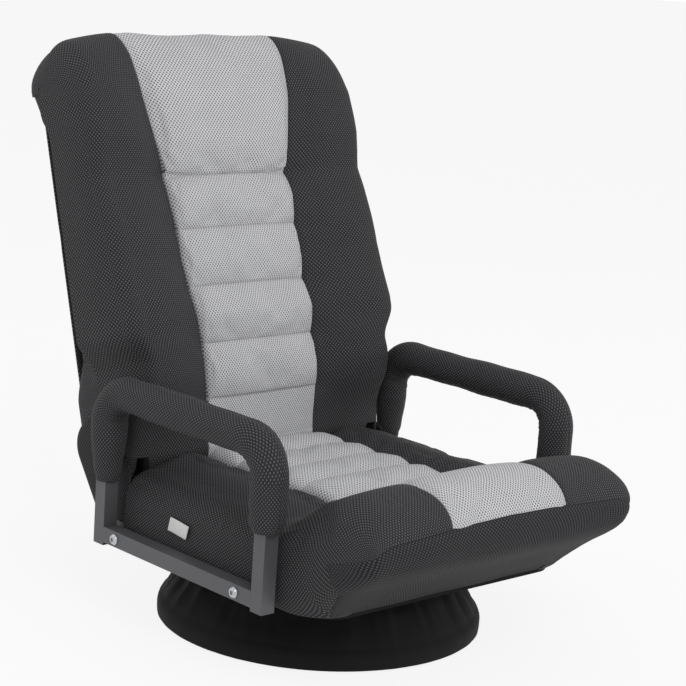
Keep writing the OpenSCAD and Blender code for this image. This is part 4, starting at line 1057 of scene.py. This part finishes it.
declare(zip_teeth(), "back")
rear_cloth, rear_grid = rear_back_panel()
declare(rear_cloth, "back", ["rear_panel"])
declare_sheet(rear_cloth, rear_grid)
rear_seat_cloth, rear_seat_grid = rear_seat_panel()
declare(rear_seat_cloth, "seat", ["seat_rear_panel"])
declare_sheet(rear_seat_cloth, rear_seat_grid)

# %% [markdown]
# ## Foam sleeves on the armrests
# Each sleeve is a tube of foam in a sewn cover, a grid with rows along the path and columns round it. The
# cover wrinkles on the inside of the bends, and a hem draws it in at both ends.

# %% Path of an armrest
ARM_X, ARM_TOP, ARM_BEND = 244.0, SEAT_Z + 204.0, 42.0
ARM_Y = (-168.0, 142.0)
PAD_R = 23.0


def arm_path(step_mm=3.0):
    """Points and outward directions along the hoop, and how much each one bends."""
    corner_z = ARM_TOP - ARM_BEND
    front_bend, rear_bend = (
        [((centre + ARM_BEND * y, corner_z + ARM_BEND * z), (y, z), 1.0)
         for y, z in arc((0, 0), 1.0, a0, a1, 24)]
        for centre, a0, a1 in ((ARM_Y[0] + ARM_BEND, 180.0, 90.0), (ARM_Y[1] - ARM_BEND, 90.0, 0.0)))
    rise = [((ARM_Y[0], z), (-1.0, 0.0), 0.0) for z in np.arange(SEAT_Z + 102.0, corner_z, step_mm)]
    top_run = [((y, ARM_TOP), (0.0, 1.0), 0.0)
               for y in np.arange(ARM_Y[0] + ARM_BEND + step_mm, ARM_Y[1] - ARM_BEND, step_mm)]
    down = [((ARM_Y[1], z), (1.0, 0.0), 0.0)
            for z in np.arange(corner_z - step_mm, SEAT_Z + 86.0, -step_mm)]
    return rise + front_bend + top_run + rear_bend + down


def arm_sleeve(name, sign, bore=14.6):
    centres, outs, bends = (np.array(part) for part in zip(*arm_path()))
    bend = np.convolve(bends, np.ones(9) / 9, mode="same")
    l = run_length(centres)[:, None]
    total = l[-1, 0]
    a = np.linspace(0, 2 * math.pi, 41)[None, :]
    inner_side = np.clip(-np.cos(a), 0, 1) ** 2
    from_end = np.minimum(l, total - l)
    hem = 1 - 0.16 * pucker(from_end, 7.0) + 0.02 * pucker(from_end - 12.0, 5.0)
    wave = np.sin(l * 0.55 + 0.8 * np.sin(l * 0.13)) * np.sin(l * 0.21 + 1.0)
    fold = -1.6 * wave * inner_side * np.clip(bend[:, None] * 1.4 + 0.15, 0, 1)
    lump = 0.6 * np.sin(l * 0.035 + 1.2 * sign) + 0.4 * np.sin(l * 0.09 + 2 * a)
    lower_rear = step((l - (total - 62.0)) / 62.0)
    radius = (PAD_R - 0.8 - 5.6 * lower_rear) * hem + fold + lump * (1 - lower_rear)
    points, inside = (
        stack(ARM_X + np.sin(a) * r,
              *(centres[:, k, None] + outs[:, k, None] * np.cos(a) * r for k in (0, 1)))
        for r in (radius, bore))
    return shell(name, mirrored(points, sign), mirrored(inside, sign), black_mesh,
                 flip=sign < 0, cloth=stack(a * PAD_R, l, 0.0))


both_sides(arm_sleeve, "arm_sleeve_cloth", "seat", "arm_pad")

# %% [markdown]
# ## The base cover
# The steel base is hidden under a gathered cap of thin cloth: a hem round the floor ring, a shoulder, and
# a mouth under the swivel. Its wrinkles run towards the middle, deepest on the shoulder and shallow at the
# rim. Their spacing must not be even, so several sines are added.

# %% Gathered base cover
COVER_PROFILE = np.array([
    (209.6, 2.6), (210.0, 8.0), (210.0, 15.0), (209.2, 19.0), (206.6, 23.4), (203.0, 26.6),
    (199.0, 34.0), (193.0, 43.0), (187.0, 52.0), (180.0, 62.5), (172.0, 71.5), (164.0, 76.6),
    (154.0, 80.0), (142.0, 82.4), (128.0, 83.8), (112.0, 85.0),
])


def base_cover(thickness=1.3):
    length = run_length(COVER_PROFILE)
    l = np.linspace(0, length[-1], 64)
    line = np.stack([np.interp(l, length, COVER_PROFILE[:, k]) for k in (0, 1)], axis=1)
    r, z = line[:, :1], line[:, 1:]
    a = np.linspace(0, 2 * math.pi, 361)[None, :]
    share = (l / length[-1])[:, None]
    ripple = (np.sin(17 * a + 2.2 * np.sin(3 * a)) * 0.9 + np.sin(29 * a + 1.7 * np.sin(2 * a + 1))
              + 0.7 * np.sin(43 * a + 2.6 * np.sin(5 * a + 2)) + 0.4 * np.sin(71 * a))
    depth = 0.15 + 1.5 * step((share - 0.12) / 0.3) * (1 - 0.6 * step((share - 0.85) / 0.15))
    cross = 0.7 * np.sin(share * 22 + 4 * np.sin(4 * a)) * step((share - 0.2) / 0.3)
    lift = ripple * depth * 0.55 + cross
    radial = outward(line)
    skins = [(r + h * radial[:, :1], z + h * radial[:, 1:]) for h in (lift, lift - thickness)]
    points, inside = (stack(rr * np.cos(a), rr * np.sin(a), zz) for rr, zz in skins)
    return shell("base_cover_cloth", points, inside, cover_cloth), points


cover, cover_grid = base_cover()
declare(cover, "base", ["base_cover"])
cover_area = float(np.linalg.norm(np.cross(
    np.diff(cover_grid, axis=0)[:, :-1], np.diff(cover_grid, axis=1)[:-1]), axis=2).sum() * MM ** 2)

# %% [markdown]
# ## The side label
# A small ribbon label is sewn to the left wall of the seat. It is left blank. A flat quad would look
# pasted on, so it is a thin strip with a slight curl.


# %% Blank label
def side_label():
    u = np.linspace(-1, 1, 25)[None, :]
    v = np.linspace(-1, 1, 13)[:, None]
    y = 14.0 + 18.0 * u - 2.5 * v
    z = SEAT_Z + 54.0 + 9.0 * v + 1.6 * u
    belly = 2.3
    x = -(side_x(y, z) + belly + 0.6) - 0.4 * u ** 2 + 0.2 * v + 0.2 * np.sin(3 * u)
    points = stack(x, y, z)
    return shell("side_label_cloth", points[::-1], thin(points[::-1], 0.6), label_cloth), points


label, label_grid = side_label()
declare(label, "seat", ["side_label"])
declare_sheet(label, label_grid)

# %% [markdown]
# ## Studio
# A pale floor with a soft shadow and a white world stand for the photograph's white ground. The camera
# sees a pure white world, while a softer grey dome and three large lamps light the chair.

# %% World, floor and lamps
scene = bpy.context.scene
scene.view_settings.view_transform = "Standard"


def empty_tree(owner):
    owner.use_nodes = True
    owner.node_tree.nodes.clear()
    return owner.node_tree


def ray_kinds(tree):
    """What the light path says of camera, glossy and transmission rays."""
    outputs = add_node(tree, "LightPath").socket.node.outputs
    return [Wire(tree, outputs[f"Is {kind} Ray"]) for kind in ("Camera", "Glossy", "Transmission")]


scene.world = bpy.data.worlds.new("studio")
tree = empty_tree(scene.world)
to_camera, glossy, passing = ray_kinds(tree)
seen = to_camera.math("MAXIMUM", passing).math("MAXIMUM", glossy * 0.6)
background = add_node(tree, "Background", None,
                      {"Color": (1, 1, 1, 1), "Strength": seen * 0.45 + 0.55})
add_node(tree, "OutputWorld", None, {"Surface": background})

floor_material = bpy.data.materials.new("studio_floor")
tree = empty_tree(floor_material)
to_camera, glossy, passing = ray_kinds(tree)
glow = add_node(tree, "Emission", None, {"Color": (1, 1, 1, 1), "Strength": 1.0})
paint = add_node(tree, "BsdfDiffuse", None, {"Color": (0.9, 0.9, 0.9, 1)})
share = to_camera.math("MAXIMUM", glossy) * 0.86
surface = add_node(tree, "MixShader", None, {0: share, 1: paint, 2: glow})
add_node(tree, "OutputMaterial", None, {"Surface": surface})
FLOOR_HALF = 30000.0
corners = np.array([(-1, -1, 0), (1, -1, 0), (1, 1, 0), (-1, 1, 0)]) * FLOOR_HALF
floor = new_piece("studio_floor", corners, np.array([(0, 1, 2, 3)]), floor_material)


def lamp(name, place, target, size, watts):
    data = bpy.data.lights.new(name, "AREA")
    data.shape = "RECTANGLE"
    data.size = data.size_y = size
    data.energy = watts
    lamp_object = bpy.data.objects.new(name, data)
    lamp_object.location = place
    lamp_object.rotation_euler = (Vector(target) - Vector(place)).to_track_quat("-Z", "Y").to_euler()
    scene.collection.objects.link(lamp_object)


lamp("key_lamp", (-1.2, -2.6, 2.6), (0, 0, 0.35), 1.6, 42.0)
lamp("fill_lamp", (2.6, -1.6, 1.5), (0, 0, 0.35), 1.8, 16.0)
lamp("rear_lamp", (-1.8, 1.8, 2.2), (0, 0, 0.4), 1.4, 14.0)
print("studio ready")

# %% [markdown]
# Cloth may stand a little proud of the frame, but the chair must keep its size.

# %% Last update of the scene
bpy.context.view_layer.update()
